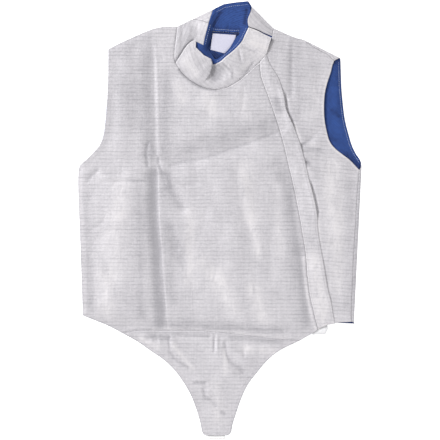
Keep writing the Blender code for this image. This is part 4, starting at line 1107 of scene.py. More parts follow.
# A run's slice leaves out what another piece covers, or where the mark fades out
CROTCH_HEM_HIGHLIGHT_LINE = shifted(Line.crotch_seam, HEM_LIGHT_ASIDE)[14:-6]
PRESSED_LINE = [spot[:2] for spot in PRESSED.crest[6:]]
NECK_SHADE_LINE = shifted(Line.neck_front, NECK_SHADE_ASIDE)[:40]
# Below zero: painted shade along the open edges, in the creases, beside the placket and under the collar.
# Above zero: rubbed pale patches, plus painted highlights along the left armhole's hem, the placket's closed
# edge, the crotch hem, the pressed crease and the seam ridge
FRONT_WEAR_AND_PAINTED_LIGHT = [
    Band(Line.armhole_r, 1.3, -0.7),
    Band(Line.side_r, 1.3, -0.5),
    Band(Line.hem_r, 1.3, -0.6),
    Band(Line.shoulder_r, 1.3, -0.4),
    Band(Line.armhole_l, 2.6, 1.0),
    Band([(133, 174), (139, 158), (146, 140)], 1.8, 0.8),
    Band([(176, 8), (178, -20), (182.5, -48)], 1.8, 0.6),
    Band(CROTCH_HEM_HIGHLIGHT_LINE, 1.5, 0.8),
    Band(PRESSED_LINE, 1.6, 0.4),
    Band([(-111, 112), (-109, 98), (-104, 87)], 1.8, -0.8),
    Band([(-129, 138), (-133, 121), (-130, 98)], 2.4, -0.8),
    Fold(-124, 134, -120, 104, 7, -0.4),
    Fold(-165, 71, -137, 70, 2.2, -0.5),
    Fold(-239, 72, -221, 88, 4, -0.5),
    Fold(147, 135, 151, 137, 3, -1.0),
    Fold(150, 136, 165, 146, 2.2, -0.5),
    Fold(149, 125, 182, 126, 4, -0.5),
    Fold(162, 136, 178, 134, 5, 0.4),
    Fold(155, 105, 161, 100, 2.4, -1.0),
    Fold(-176, 62, -180, 12, 15, 0.42),
    Fold(-189, 0, -193, -96, 20, 0.32),
    Fold(-203, -108, -203, -166, 17, 0.42),
    Fold(-52, 14, -55, -112, 9, 0.5),
    Fold(-30, -76, -8, -116, 14, 0.3),
    Fold(44, 98, 54, 10, 13, 0.55),
    Fold(56, 0, 70, -60, 8, 0.5),
    Fold(-2, -98, 26, -162, 14, 0.48),
    Fold(60, -124, 80, -182, 13, 0.5),
    Fold(-18, 226, -12, 196, 13, 0.6),
    Fold(42, 216, 46, 188, 10, 0.35),
    Fold(-146, 60, -142, -170, 8, -0.4),
    Fold(-242, 50, -234, -160, 8, -0.35),
    Fold(-74, 240, -68, 216, 10, 0.5),
    Fold(104, 60, 110, -60, 10, 0.3),
    Fold(200, 94, 210, -40, 16, 0.6),
    Fold(212, -60, 212, -120, 13, 0.4),
    Fold(172, 256, 166, 190, 14, 0.3),
    Fold(-165, 310, -165, 200, 44, -0.35),
    Fold(-131, 330, -127, 120, 11, -0.4),
    Fold(-98, 262, -97, 112, 10, -0.45),
    Band([(-121, 84), (-121, 10), (-115, -60), (-108, -186)], 11, -1.0),
    Band([(-115, 84), (-114, 0), (-108, -60), (-100.5, -170)], 4, -0.6),
    Band([(-98, 74), (-96, 0), (-88, -140)], 11, -0.35),
    Fold(-100, 84, -72, 26, 9, -0.6),
    Fold(-88, -16, -70, -72, 10, -0.5),
    Band([(-90, 97), (-60, 106), (-30, 110), (12, 124), (54, 139), (118, 164)], 2.6, -0.4),
    Band([(-66, 124), (28, 150), (118, 184)], 17, -0.42),
    Fold(-100, -184, 120, -196, 8, -0.28),
    Band([(112, 96), (122, 20), (136, -70), (154, -186)], 15, -0.45),
    Band([(126, 40), (141, -60), (154, -180)], 6, -0.4),
    Fold(150, 310, 150, 140, 44, -0.15),
    Fold(140, 312, 136, 236, 7, -0.3),
    Fold(128, 322, 127, 224, 3.5, -0.5),
    Fold(236, 60, 232, -160, 10, -0.3),
    Fold(-90, -191, 110, -199, 4, -0.35),
    Band(SEAM_RIDGE, 2.6, 0.9),
    Band(NECK_SHADE_LINE, 2.0, -1.0),
]
FRONT = Layer(front_height, CLOTH, front_relief)
front_loop = joined(back(Line.shoulder_r), Line.armhole_r, Line.side_r, Line.side_hem_r, Line.hem_r,
                    Line.crotch_seam, Line.hem_front, back(Line.placket_seam), back(Line.neck_front),
                    back(Line.neck_under_flap), back(Line.neck_side))
crease_lines = [shifted(Line.crease, aside)[1:-1] for aside in (-CREASE_WIDTH, 0, CREASE_WIDTH)]
sew("front_panel", "front_main", "silver_cloth", ["back_panel", "floor"], front_loop, FRONT, grid=3.0,
    skins=[lame, twill], grain=straight_grain(0), lines=crease_lines, worn=FRONT_WEAR_AND_PAINTED_LIGHT)

# %% Left front
GAP_DEPTH = 0.15
GAP_WIDTH = 3.0
PLACKET_GAPS = [
    Fold(116, 224, 119, 200, 4, -3.0),
    Fold(119, 200, 130, 174, 4, -3.0),
    Fold(145, 137, 149, 134, 3, -1.6),
    Fold(154, 107, 158, 102, 3, -1.6),
    Fold(163, 66, 170, 40, 3.5, -2.5),
    Fold(170, 40, 175, 14, 3.5, -2.5),
]
STAR_FOLDS = [
    Fold(147, 135, 165, 146, 2.6, -1.0),
    Fold(156, 138, 176, 136, 5, 0.9),
    Fold(150, 126, 184, 127, 4, -0.8),
    Fold(154, 115, 172, 112, 5, 0.7),
    Fold(155, 105, 164, 100, 2.6, -1.0),
    Fold(162, 92, 170, 80, 4, 0.5),
]


def left_front_height(x, y):
    """The left front, pressed down along the placket's free edge."""
    away = distance_to_run(x, y, Line.placket_edge)
    gap = GAP_DEPTH * np.exp(-(away / GAP_WIDTH) ** 2) - folds_at(x, y, PLACKET_GAPS)
    high = front_height(x, y)
    return np.maximum(high - gap + folds_at(x, y, STAR_FOLDS), np.minimum(high, FRONT_HEIGHT))


LEFT_FRONT = Layer(left_front_height, CLOTH, front_relief)
PLACKET_OVERLAP = 5.5
UNDER_END_GAP = 4.0
under = shifted(Line.placket_edge, -PLACKET_OVERLAP)
above_hem = under[:, 1] > Line.hem_l[0][1] + UNDER_END_GAP
under = under[above_hem & (under[:, 1] < Line.neck_under_tab[0][1] - UNDER_END_GAP)]
left_loop = joined(Line.neck_under_tab, Line.neck_l, back(Line.shoulder_l), back(Line.shoulder_seam_l),
                   back(Line.armhole_l), back(Line.side_seam_l), back(Line.hem_l),
                   np.array([Line.hem_l[0], *back(under), Line.neck_under_tab[0]]))
sew("left_front_panel", "front_left", "silver_cloth", ["back_lining_panel", "back_panel"], left_loop,
    LEFT_FRONT, grid=2.8, skins=[lame, twill], grain=straight_grain(-5), worn=FRONT_WEAR_AND_PAINTED_LIGHT)

# %% [markdown]
# ## Placket and crotch
# The placket is a long flap over the zip, sewn along its inner edge. Its free edge is what the eye
# catches: it stands up in a few places and leaves a dark gap. The crotch panel is sewn to the hem
# and crumpled, since it is folded away when the vest is packed. It narrows to a strap with a
# short elastic at its end, and the zip's white tape peeps out below the hem.

# %% Lifts of the placket
PLACKET_LIFTS = [
    Fold(116, 228, 131, 170, 9, 2.6),
    Fold(146, 134, 156, 102, 6, 0.8),
    Fold(164, 62, 176, 14, 9, 2.4),
    Fold(186, -80, 198, -140, 12, 0.9),
    Fold(104, 204, 112, 192, 7, -0.8),
    Fold(86, 262, 96, 232, 6, 0.5),
    Fold(134, 90, 142, 52, 6, -0.6),
    Fold(158, -40, 166, -96, 5, 0.6),
]
PLACKET_RISE = 1.2
PLACKET_ROOT = 14.0
LIFT_START, LIFT_RAMP = 3.0, 14.0
EDGE_THIN, EDGE_THIN_WIDTH = 0.8, 2.4
PLACKET_HEM_LESS = 2.5


def placket_height(x, y):
    """The placket starts level with the front at its seam and lies over the left front at its edge."""
    away = distance_to_run(x, y, Line.placket_seam)
    lifts = folds_at(x, y, PLACKET_LIFTS) * ease((away - LIFT_START) / LIFT_RAMP)
    return front_height(x, y) + PLACKET_RISE * ease(away / PLACKET_ROOT) + np.maximum(lifts, 0)


def placket_relief(x, y):
    edge = nearest(x, y, Line.placket_edge, Line.hem_placket)
    pressed_flat = EDGE_THIN * bell(edge, EDGE_THIN_WIDTH)
    seam = seam_relief(distance_to_run(x, y, Line.placket_seam))
    return hem_relief(edge + PLACKET_HEM_LESS) - pressed_flat + seam


# %% Placket
LOWER_EDGE = Line.placket_edge[55:]
# Painted highlights along the lower free edge and the seam, a paler lower part, and a spot of painted shade
# near the upper edge
PLACKET_WEAR_AND_PAINTED_LIGHT = [
    Band(LOWER_EDGE, 1.4, 0.5),
    Band(Line.placket_seam, 1.4, 0.3),
    Fold(168, -70, 186, -186, 15, 0.6),
    Fold(101, 216, 106, 198, 7, -0.8),
]
PLACKET = Layer(placket_height, CLOTH, placket_relief)
placket_loop = joined(Line.neck_placket, Line.placket_edge, back(Line.hem_placket), back(Line.placket_seam))
placket_root_line = shifted(Line.placket_seam, PLACKET_ROOT)[2:-1]
sew("placket_flap", "placket", "silver_cloth", ["front_panel", "left_front_panel"], placket_loop, PLACKET,
    grid=2.4, skins=[lame], grain=straight_grain(-3), lines=[placket_root_line], worn=PLACKET_WEAR_AND_PAINTED_LIGHT)

# %% Creases of the crotch panel
CROTCH_LONG_CREASE = [(-92, -210), (-90, -238), (-81, -252), (-68, -260), (-56, -266)]
CROTCH_DEEP_CREASE = [(9, -220), (13, -242), (19, -255), (32, -264), (42, -273)]
CROTCH_HOOK = [(-30, -303), (-27, -320), (-14, -326), (-7, -335)]
CROTCH_FOLDS = [
    Fold(-128, -213, -95, -212, 5, -1.2),
    Fold(-110, -207, -106, -224, 3, 0.7),
    Fold(-124, -209, -121, -220, 3, 0.6),
    Fold(-83, -207, -18, -209, 3.5, -1.0),
    Fold(25, -214, 130, -224, 4, -1.1),
    Band(CROTCH_LONG_CREASE, 2.2, -1.2),
    Band([(-84, -212), (-82, -236), (-70, -252), (-52, -262)], 6, 1.3),
    Fold(-10, -206, -10, -236, 2.0, -1.6),
    Fold(-5, -206, -5, -236, 2.4, 0.8),
    Fold(1, -207, 1, -220, 2.0, -0.9),
    Band(CROTCH_DEEP_CREASE, 2.6, -1.7),
    Band([(-2, -234), (6, -256), (22, -276)], 8, 1.4),
    Fold(22, -228, 40, -254, 7, 0.9),
    Fold(43, -234, 44, -246, 2.2, -1.2),
    Fold(56, -232, 90, -236, 6, 0.9),
    Fold(-46, -293, -26, -293, 2.2, -1.4),
    Fold(-46, -288, -26, -288, 3, 0.5),
    Fold(-29, -301, 7, -301, 2.4, -0.8),
    Band(CROTCH_HOOK, 2.2, -1.8),
    Fold(-19, -306, -18, -318, 4, 0.9),
    Fold(2, -345, 9, -349, 2.4, -1.6),
    Fold(-2, -324, 8, -338, 4, 0.8),
    Fold(-130, -224, -104, -238, 6, 0.7),
    Fold(-40, -276, -30, -286, 7, 0.6),
    Fold(60, -250, 78, -254, 4, -0.8),
]
CROTCH_PUFF, CROTCH_REACH = 2.2, 20.0
CROTCH_FINE_REACH = 6.0
ELASTIC_FADE = 14.0


def crotch_height(x, y):
    edge = nearest(x, y, Line.strap_r, Line.strap_l, Line.strap_end, Line.crotch_seam)
    puff = CROTCH_PUFF * (1 - bell(edge, CROTCH_REACH))
    creased = folds_at(x, y, CROTCH_FOLDS) * (1 - bell(edge, CROTCH_FINE_REACH))
    return np.maximum(np.maximum(puff + creased, 0), over_box(x, y, ELASTIC, ELASTIC_FADE))


def crotch_relief(x, y):
    hems = nearest(x, y, Line.strap_r, Line.strap_l, Line.strap_end)
    return hem_relief(hems) + seam_relief(distance_to_run(x, y, Line.crotch_seam))


# %% Crotch, elastic and zip tail
# Painted shade along the strap's edges and in its creases, and paler places on the crumples' crests
CROTCH_WEAR_AND_PAINTED_LIGHT = [
    Band(Line.strap_r, 1.3, -0.8),
    Band(Line.strap_end, 1.3, -0.5),
    Band(Line.strap_l, 1.3, -0.6),
    Band(CROTCH_LONG_CREASE, 2.6, -0.4),
    Band(CROTCH_DEEP_CREASE, 2.6, -0.5),
    Band(CROTCH_HOOK, 2.0, -0.5),
    Fold(-11, -207, -11, -236, 1.8, -0.8),
    Fold(-46, -293, -27, -293, 2.0, -0.9),
    Fold(2, -345, 9, -349, 2.4, -0.8),
    Fold(-128, -210, -92, -212, 7, -0.7),
    Fold(-84, -206, -20, -208, 2.6, -0.6),
    Fold(20, -211, 110, -220, 4, -0.6),
    Fold(48, -232, 96, -238, 8, 0.5),
    Fold(8, -236, 10, -278, 5, 0.5),
    Fold(-84, -226, -50, -266, 4, 0.5),
    Fold(-8, -300, -4, -360, 12, 0.3),
    Fold(-140, -214, -112, -228, 6, 0.4),
]
CROTCH = Layer(crotch_height, CLOTH, crotch_relief)
crotch_loop = joined(Line.strap_r, Line.strap_end, Line.strap_l, back(Line.crotch_seam))
sew("crotch_panel", "crotch", "silver_cloth", ["floor"], crotch_loop, CROTCH, grid=2.3,
    skins=[lame, twill], grain=straight_grain(0), worn=CROTCH_WEAR_AND_PAINTED_LIGHT)

FLAT_WEB = Layer(flat_at(0.0), LINING, plain)
# The elastic and the zip tape get painted shade along their edges
for name, node, corners, skin, edge_width, edge_shade in (
        ("strap_elastic", "crotch_elastic", ELASTIC, web, 1.0, -0.7),
        ("zip_tape_tail", "zip_tape", ZIP_TAIL, tape, 1.3, -0.5)):
    edge = [*corners, corners[0]]
    sew(name, node, "white_web", ["floor"], joined(cornered(edge, LONG)), FLAT_WEB, grid=3, skins=[skin],
        grain=straight_grain(0), worn=[Band(edge, edge_width, edge_shade)])

# %% [markdown]
# ## The collar
# A stand collar laid flat is a small landscape: behind the neck it lies down, at the sides it
# rolls up to a ridge, and in front its flap puffs out beside a hollow, with the tab lying across.
# Tables of heights at chosen spots describe it best, with a thin-plate surface through them, the
# shape that a springy sheet takes when it is pinned at those spots.

# %% Spots of the collar's heights
SIDE_MARKS = [
    Mark(-76, 347, 2.4), Mark(-80, 324, 4.8), Mark(-80, 302, 5.0), Mark(-79, 283, 4.6),
    Mark(-64, 354, 2.0), Mark(-51, 360, 1.9), Mark(-31, 370, 1.9), Mark(-12, 379, 2.0),
    Mark(-66, 342, 4.8), Mark(-70, 320, 6.0), Mark(-70, 302, 6.0), Mark(-50, 338, 7.0),
    Mark(-37, 354, 6.4), Mark(-36, 331, 8.8), Mark(-17, 365, 6.6), Mark(-20, 353, 9.4),
    Mark(-22, 342, 10.2), Mark(-26, 328, 10.2), Mark(-30, 314, 9.2), Mark(-41, 318, 7.8),
    Mark(-54, 311, 6.0), Mark(-65, 289, 4.2), Mark(-46, 306, 6.6),
]
TURN_MARKS = [
    Mark(57, 384, 2.0), Mark(77, 364, 2.1), Mark(97, 345, 2.4), Mark(54, 373, 3.4),
    Mark(50, 359, 5.0), Mark(51, 346, 6.4), Mark(58, 337, 6.2), Mark(72, 329, 5.4),
    Mark(85, 323, 4.6), Mark(92, 323, 3.9), Mark(94, 330, 3.2), Mark(70, 350, 5.2),
]
COLLAR_MARKS = [
    Mark(-79, 282, 5.6), Mark(-66, 262, 4.2), Mark(-39, 242, 4.0), Mark(-7, 234, 4.0),
    Mark(22, 242, 4.0), Mark(49, 263, 4.2), Mark(72, 284, 4.8), Mark(84, 297, 5.6),
    Mark(-63, 271, 7.6), Mark(-48, 258, 7.8), Mark(-34, 250, 7.4), Mark(-20, 246, 6.4),
    Mark(-5, 244, 6.6), Mark(9, 248, 7.6), Mark(24, 256, 8.6), Mark(38, 266, 8.8),
    Mark(-69, 298, 8.6), Mark(-54, 318, 9.8), Mark(-47, 322, 10.0), Mark(-43, 310, 10.4),
    Mark(-29, 295, 10.2), Mark(-17, 288, 8.4), Mark(-40, 276, 9.2), Mark(-26, 268, 7.0),
    Mark(-28, 256, 6.4), Mark(-12, 279, 4.6), Mark(-10, 268, 4.0), Mark(-10, 257, 4.2),
    Mark(-3, 271, 4.4), Mark(1, 262, 4.8), Mark(6, 254, 6.4), Mark(7, 273, 6.2), Mark(13, 265, 6.8),
    Mark(4, 283, 8.8), Mark(17, 277, 9.2), Mark(22, 267, 8.8),
    Mark(11, 292, 10.2), Mark(24, 304, 10.2), Mark(45, 333, 9.6), Mark(51, 345, 9.0),
    Mark(54, 311, 9.6), Mark(67, 339, 9.1), Mark(93, 327, 8.3), Mark(87, 309, 7.6),
]
LINING_MARKS = [
    Mark(-11, 378, 3.2), Mark(7, 386, 1.5), Mark(27, 389, 1.5), Mark(50, 391, 1.5), Mark(56, 383, 2.2),
    Mark(43, 371, 1.5), Mark(36, 353, 1.5), Mark(15, 342, 1.5), Mark(5, 360, 1.5), Mark(-15, 366, 6.6),
    Mark(-19, 353, 9.6), Mark(-22, 342, 11.2), Mark(-26, 328, 11.2), Mark(-29, 314, 9.8),
    Mark(-14, 338, 3.8), Mark(-17, 324, 4.4), Mark(-21, 310, 4.6), Mark(-41, 317, 8.0),
    Mark(-29, 300, 6.2), Mark(-14, 288, 5.6), Mark(-12, 280, 6.6), Mark(54, 373, 4.0),
    Mark(50, 359, 5.0), Mark(51, 346, 6.6), Mark(45, 333, 9.8), Mark(37, 318, 10.8),
    Mark(24, 304, 10.6), Mark(11, 293, 10.0), Mark(1, 285, 8.8), Mark(33, 337, 3.9),
    Mark(27, 325, 4.5), Mark(18, 310, 4.7), Mark(6, 298, 4.7), Mark(-7, 289, 4.6),
    Mark(-8, 343, 2.6), Mark(14, 341, 2.8), Mark(34, 340, 2.8), Mark(14, 349, 1.8),
]

# %% Creases of the collar
# The collar's front: the flap's lip round its hollow, the hollow's rim, and small creases
LIP_STEP = 0.7
FLAP_LIP = Ledge(16, LIP_STEP, [
    (-31, 248, 0), (-24, 254, 2.4), (-17, 263, 4.6), (-15, 271, 5.4), (-14, 279, 5.0), (-17, 290, 2.6)])
HOLLOW_RIM = Ledge(9, 1.5, [(24, 258, 0), (22, 267, 1.2), (17, 277, 1.6), (10, 282, 1.3), (3, 285, 0)])
COLLAR_FOLDS = [
    Fold(42, 310, 66, 301, 2.4, -1.0),
    Fold(44, 316, 68, 308, 3.0, 0.5),
    Fold(34.5, 301, 37.5, 286, 2.0, -0.9),
    Fold(40, 301, 43, 288, 3.0, 0.4),
    Fold(59, 281, 50, 268, 2.6, -1.1),
    Fold(69, 281, 52, 265, 2.6, 0.6),
    Fold(56, 330, 80, 322, 3.0, -0.4),
    Fold(-52, 300, -36, 258, 5.0, 0.3),
    Fold(-40, 300, -27, 262, 4.0, -0.3),
]
SIDE_FOLDS = [
    Fold(-66, 344, -70, 300, 3.0, -0.5),
    Fold(-54, 346, -58, 316, 4.0, 0.5),
    Fold(-40, 350, -42, 330, 3.5, -0.4),
    Band([(-79, 284), (-64, 307), (-47, 323)], 2.0, -2.0),
]
TURN_FOLDS = [Fold(64, 372, 84, 348, 6, 0.3)]
COLLAR_LINING_FOLDS = [
    Fold(-10, 350, 0, 371, 2.6, -1.2),
    Fold(0, 371, 8, 380, 2.4, -0.7),
    Fold(48, 377, 45, 356, 2.6, -1.2),
    Fold(-16, 362, -8, 377, 2.0, 0.8),
    Fold(10, 352, 30, 346, 4.0, 0.4),
    Fold(12, 372, 34, 366, 6.0, 0.5),
]

# %% Height functions of the collar
COLLAR_FOLD_RADIUS = 1.5
# The collar's hem is narrower and softer than the body's
COLLAR_HEM_LESS, COLLAR_HEM_SHARE = 3.5, 0.7
side_height = surface_through(SIDE_MARKS, 2 * COLLAR_FOLD_RADIUS - CLOTH, SIDE_FOLDS)
turn_height = surface_through(TURN_MARKS, 2 * COLLAR_FOLD_RADIUS - CLOTH, TURN_FOLDS)
collar_base = surface_through(COLLAR_MARKS, FRONT_HEIGHT + CLOTH, COLLAR_FOLDS)
collar_lining_height = surface_through(LINING_MARKS, LINING_HEIGHT, COLLAR_LINING_FOLDS)


def collar_height(x, y):
    """The collar's front. The flap's lip falls away steeply into the hollow."""
    return collar_base(x, y) + ledge_at(x, y, FLAP_LIP) + ledge_at(x, y, HOLLOW_RIM)


def collar_relief(x, y):
    edges = nearest(x, y, Line.tab_end, Line.tab_top, Line.ridge_l_front, Line.flap_top)
    seams = nearest(x, y, Line.neck_front, Line.neck_placket)
    return COLLAR_HEM_SHARE * hem_relief(edges + COLLAR_HEM_LESS) + seam_relief(seams)


def side_relief(x, y):
    return seam_relief(nearest(x, y, Line.neck_side, Line.collar_seam_r))


# %% Collar behind the neck
NECK_CENTRE = (6, 295)
FLAP_CENTRE = (41.5, 323.5)
NECK_SEWN_LINE = Line.neck_front[:36]
# Painted shade in the hollow, along its rim, in small creases and under the collar's lower edge; painted
# highlights along the tab's edges, the ridge, the flap's top edge and over the tab; a few paler places on the
# flap
COLLAR_WEAR_AND_PAINTED_LIGHT = [
    Fold(-60, 284, -44, 262, 8, 0.5),
    Fold(-40, 300, -26, 262, 8, -0.3),
    Fold(60, 322, 78, 314, 6, 0.4),
    Fold(30, 262, 52, 282, 5, 0.3),
    Fold(-11, 276, -12, 254, 6, -1.0),
    Fold(-4, 274, -4, 256, 7, -0.9),
    Fold(4, 272, 8, 260, 7, -0.4),
    Band([(4, 282), (14, 272), (22, 264), (22, 254)], 2.2, -0.8),
    Band([(-4, 278), (6, 270), (13, 262), (13, 256)], 1.8, -0.5),
    Band([(42, 310), (54, 305), (66, 301)], 2.2, -0.6),
    Fold(34.5, 301, 37.5, 286, 2.0, -0.5),
    Fold(59, 281, 50, 268, 2.4, -0.7),
    Band(NECK_SEWN_LINE, 1.2, -0.9),
    Band(Line.tab_top, 2.0, 1.0),
    Band(Line.tab_end, 1.6, 0.7),
    Band(Line.ridge_l_front, 2.0, 0.9),
    Band(Line.flap_top, 1.6, 0.6),
    Fold(62, 324, 78, 306, 18, 0.9),
]
# The turned collar stand is darkened a little with painted shade
STAND_PAINTED_SHADE = [Fold(60, 400, 110, 350, 60, -0.2)]
TAB_GAP = (1.0, 3.2)
right_turn = FoldOver(COLLAR_FOLD_R, COLLAR_FOLD_RADIUS, side_height)
left_turn = FoldOver(COLLAR_FOLD_L, COLLAR_FOLD_RADIUS, turn_height)
turned_right = right_turn.unfold(np.concatenate([Line.collar_seam_r[1:-1], Line.ridge_r_back[:-1]]))
gap = np.linspace(*TAB_GAP, len(Line.tab_top))[:, None]
beside_tab = Line.tab_top + gap * (shifted(Line.tab_top, 1) - Line.tab_top)
above_tab = Line.neck_l[Line.neck_l[:, 1] > beside_tab[-1, 1] + 1]
turned_left = left_turn.unfold(np.concatenate([Line.ridge_l_back[1:-1], beside_tab[1:], above_tab[:-1]]))
stand_loop = joined(
    Line.collar_edge_r, np.array([COLLAR_FOLD_R[0], *turned_right, COLLAR_FOLD_R[1]]), Line.collar_top,
    np.array([COLLAR_FOLD_L[0], *turned_left, COLLAR_FOLD_L[1]]), back(Line.back_neck))
sew("collar_stand", "collar_back", "silver_cloth", ["floor"], stand_loop, Layer(flat_at(0.0), CLOTH, plain),
    grid=2.4, skins=[twill, lame], grain=round_grain(NECK_CENTRE, 90), folds=[right_turn, left_turn],
    worn=STAND_PAINTED_SHADE, rim_skin=1)

# %% Collar's side and front
SIDE = Layer(side_height, CLOTH, side_relief)
side_loop = joined(Line.collar_edge_r, Line.collar_seam_r, Line.ridge_r_side, Line.ridge_r_end,
                   Line.side_under_flap, back(Line.neck_under_flap), back(Line.neck_side))
# The collar's side gets broad painted shade over its middle
sew("collar_side_roll", "collar_side", "silver_cloth", ["back_lining_panel"], side_loop, SIDE, grid=1.7,
    skins=[collar_lame], grain=straight_grain(68), worn=[Fold(-60, 345, -55, 300, 22, -0.7)])

COLLAR_FRONT = Layer(collar_height, CLOTH, collar_relief)
flap_loop = joined(Line.neck_under_flap, Line.neck_front, Line.neck_placket, back(Line.tab_end),
                   back(Line.tab_top), Line.ridge_l_front, back(Line.flap_top), back(Line.flap_fold))
lip = smooth_curve([spot[:2] for spot in FLAP_LIP.crest[:-1]], SHORT / 2)
lip_lines = [lip[1:-1], shifted(lip, -LIP_STEP)[1:-1]]
sew("collar_flap_and_tab", "collar_front", "silver_cloth", ["collar_lining_ring", "front_panel"], flap_loop,
    COLLAR_FRONT, grid=1.6, skins=[collar_lame, twill], grain=round_grain(FLAP_CENTRE, 60),
    lines=lip_lines, worn=COLLAR_WEAR_AND_PAINTED_LIGHT)

# %% Collar's lining and the label
LINING_RING = Layer(collar_lining_height, LINING, plain)
ring_loop = joined(cornered(LINING_TOP, SHORT), Line.ridge_l_back[1:], Line.ridge_l_front,
                   back(Line.lining_under_flap), back(Line.ridge_r_end), back(Line.ridge_r_side),
                   np.array([*Line.ridge_r_back[:-1], LINING_TOP[0]]))
# Painted shade in the lining's creases, round the neck's opening and beside the label, with a few paler spots
# on its folds
RING_PAINTED_SHADE_AND_PALE_SPOTS = [
    Fold(-12, 348, 0, 371, 3.0, -0.8),
    Fold(0, 371, 8, 380, 3.0, -0.4),
    Fold(48, 378, 45, 352, 3.5, -0.8),
    Fold(-8, 345, 36, 343, 2.6, -0.4),
    Fold(-16, 336, -22, 310, 4, -0.6),
    Fold(-24, 306, -12, 282, 5, -0.4),
    Fold(33, 338, 8, 298, 4, -0.5),
    Fold(8, 364, 36, 366, 12, 0.2),
    Fold(-20, 356, -12, 376, 2.5, 0.4),
]
sew("collar_lining_ring", "collar_lining", "blue_lining", ["collar_stand", "back_lining_panel"], ring_loop,
    LINING_RING, hole=Line.neck_hole, grid=1.7, skins=[twill], grain=round_grain(NECK_CENTRE, 60),
    worn=RING_PAINTED_SHADE_AND_PALE_SPOTS)

LABEL_FOLDS = [Fold(-14, 326, 26, 318, 5, 0.3), Fold(-16, 300, 22, 292, 3, 0.4)]
LABEL_WALL = 0.7
LABEL_LEVEL = LINING_HEIGHT + LINING + LAYER_GAP


def label_height(x, y):
    return LABEL_LEVEL + folds_at(x, y, LABEL_FOLDS)


label_loop = joined(cornered([*LABEL, LABEL[0]], SHORT))
sew("neck_label_satin", "neck_label", "white_label", ["back_lining_panel"], label_loop,
    Layer(label_height, LABEL_WALL, plain), grid=2.0, skins=[satin], grain=straight_grain(-6))

# %% [markdown]
# ## Stitches
# Every hem and seam is topstitched: a row of short dashes of thread, half sunk in the cloth. They
# repeat along paths, so Geometry Nodes make them. A row is a line of edges laid on the cloth's
# top. The tree turns it to a curve, sets a point every pitch, and puts a small ellipsoid on each.

# %% The stitch tree
STITCH_PITCH = 0.0034
STITCH_LENGTH = 0.0027
THREAD_WIDTH = 0.0006
STITCH_LIFT = 0.1
STITCH_LEAST = (0.85, 0.85, 0.85)
STITCH_MOST = (1.15, 1.15, 1.1)
STITCH_SEED = 5


def stitch_tree():
    """Rows of edges in, realized stitches out."""
    tree = bpy.data.node_groups.new("stitch_rows", "GeometryNodeTree")
    face = tree.interface
    face.new_socket("Geometry", in_out="INPUT", socket_type="NodeSocketGeometry")
    for name in ("Pitch", "Length", "Thread"):
        face.new_socket(name, in_out="INPUT", socket_type="NodeSocketFloat")
    face.new_socket("Material", in_out="INPUT", socket_type="NodeSocketMaterial")
    face.new_socket("Geometry", in_out="OUTPUT", socket_type="NodeSocketGeometry")
    given = add(tree, "NodeGroupInput").outputs
    rows = add(tree, "GeometryNodeMeshToCurve", {"Mesh": given["Geometry"]})
    spots = add(tree, "GeometryNodeCurveToPoints", {"Curve": rows.outputs[0], "Length": given["Pitch"]},
                mode="LENGTH")
    dash = add(tree, "GeometryNodeMeshUVSphere", {"Segments": 6, "Rings": 4, "Radius": 0.5})
    size = add(tree, "ShaderNodeCombineXYZ", {
        "X": given["Thread"], "Y": given["Thread"], "Z": given["Length"]})
    slim = add(tree, "GeometryNodeTransform", {"Geometry": dash.outputs["Mesh"], "Scale": size.outputs[0]})
    uneven = add(tree, "FunctionNodeRandomValue", {
        "Min": STITCH_LEAST, "Max": STITCH_MOST, "Seed": STITCH_SEED}, data_type="FLOAT_VECTOR")
    set_down = add(tree, "GeometryNodeInstanceOnPoints", {
        "Points": spots.outputs["Points"], "Instance": slim.outputs[0],
        "Rotation": spots.outputs["Rotation"], "Scale": uneven.outputs[0]})
    real = add(tree, "GeometryNodeRealizeInstances", {0: set_down.outputs[0]})
    round_off = add(tree, "GeometryNodeSetShadeSmooth", {0: real.outputs[0]})
    coloured = add(tree, "GeometryNodeSetMaterial", {0: round_off.outputs[0], "Material": given["Material"]})
    add(tree, "NodeGroupOutput", {0: coloured.outputs[0]})
    return tree


tree_of_stitches = stitch_tree()

# %% Sewing along rows
Row = namedtuple("Row", "layer run aside")


def laid_on(layer, run, aside):
    """A run moved aside to its left and laid on the layer's top."""
    x, y = shifted(run, aside).T
    return np.column_stack([x, y, top_of(layer, x, y) + STITCH_LIFT])


def stitched(name, rows, thread):
    """Stitches along rows of points, as one plain mesh."""
    points, edges = [], []
    for row in rows:
        laid = laid_on(*row)
        edges.extend((len(points) + i, len(points) + i + 1) for i in range(len(laid) - 1))
        points.extend((laid * MM).tolist())
    guide = bpy.data.objects.new(name, bpy.data.meshes.new(name + "_rows"))
    guide.data.from_pydata(points, edges, [])
    bpy.context.scene.collection.objects.link(guide)
    modifier = guide.modifiers.new("stitches", "NODES")
    modifier.node_group = tree_of_stitches
    values = {"Pitch": STITCH_PITCH, "Length": STITCH_LENGTH, "Thread": THREAD_WIDTH, "Material": thread}
    for item in tree_of_stitches.interface.items_tree:
        if item.in_out == "INPUT" and item.name in values:
            modifier[item.identifier] = values[item.name]
    shown = guide.evaluated_get(bpy.context.evaluated_depsgraph_get())
    sewn = bpy.data.meshes.new_from_object(shown)
    guide.modifiers.clear()
    guide.data = sewn
    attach(guide, BODY)
    print(name, len(sewn.polygons), "faces")


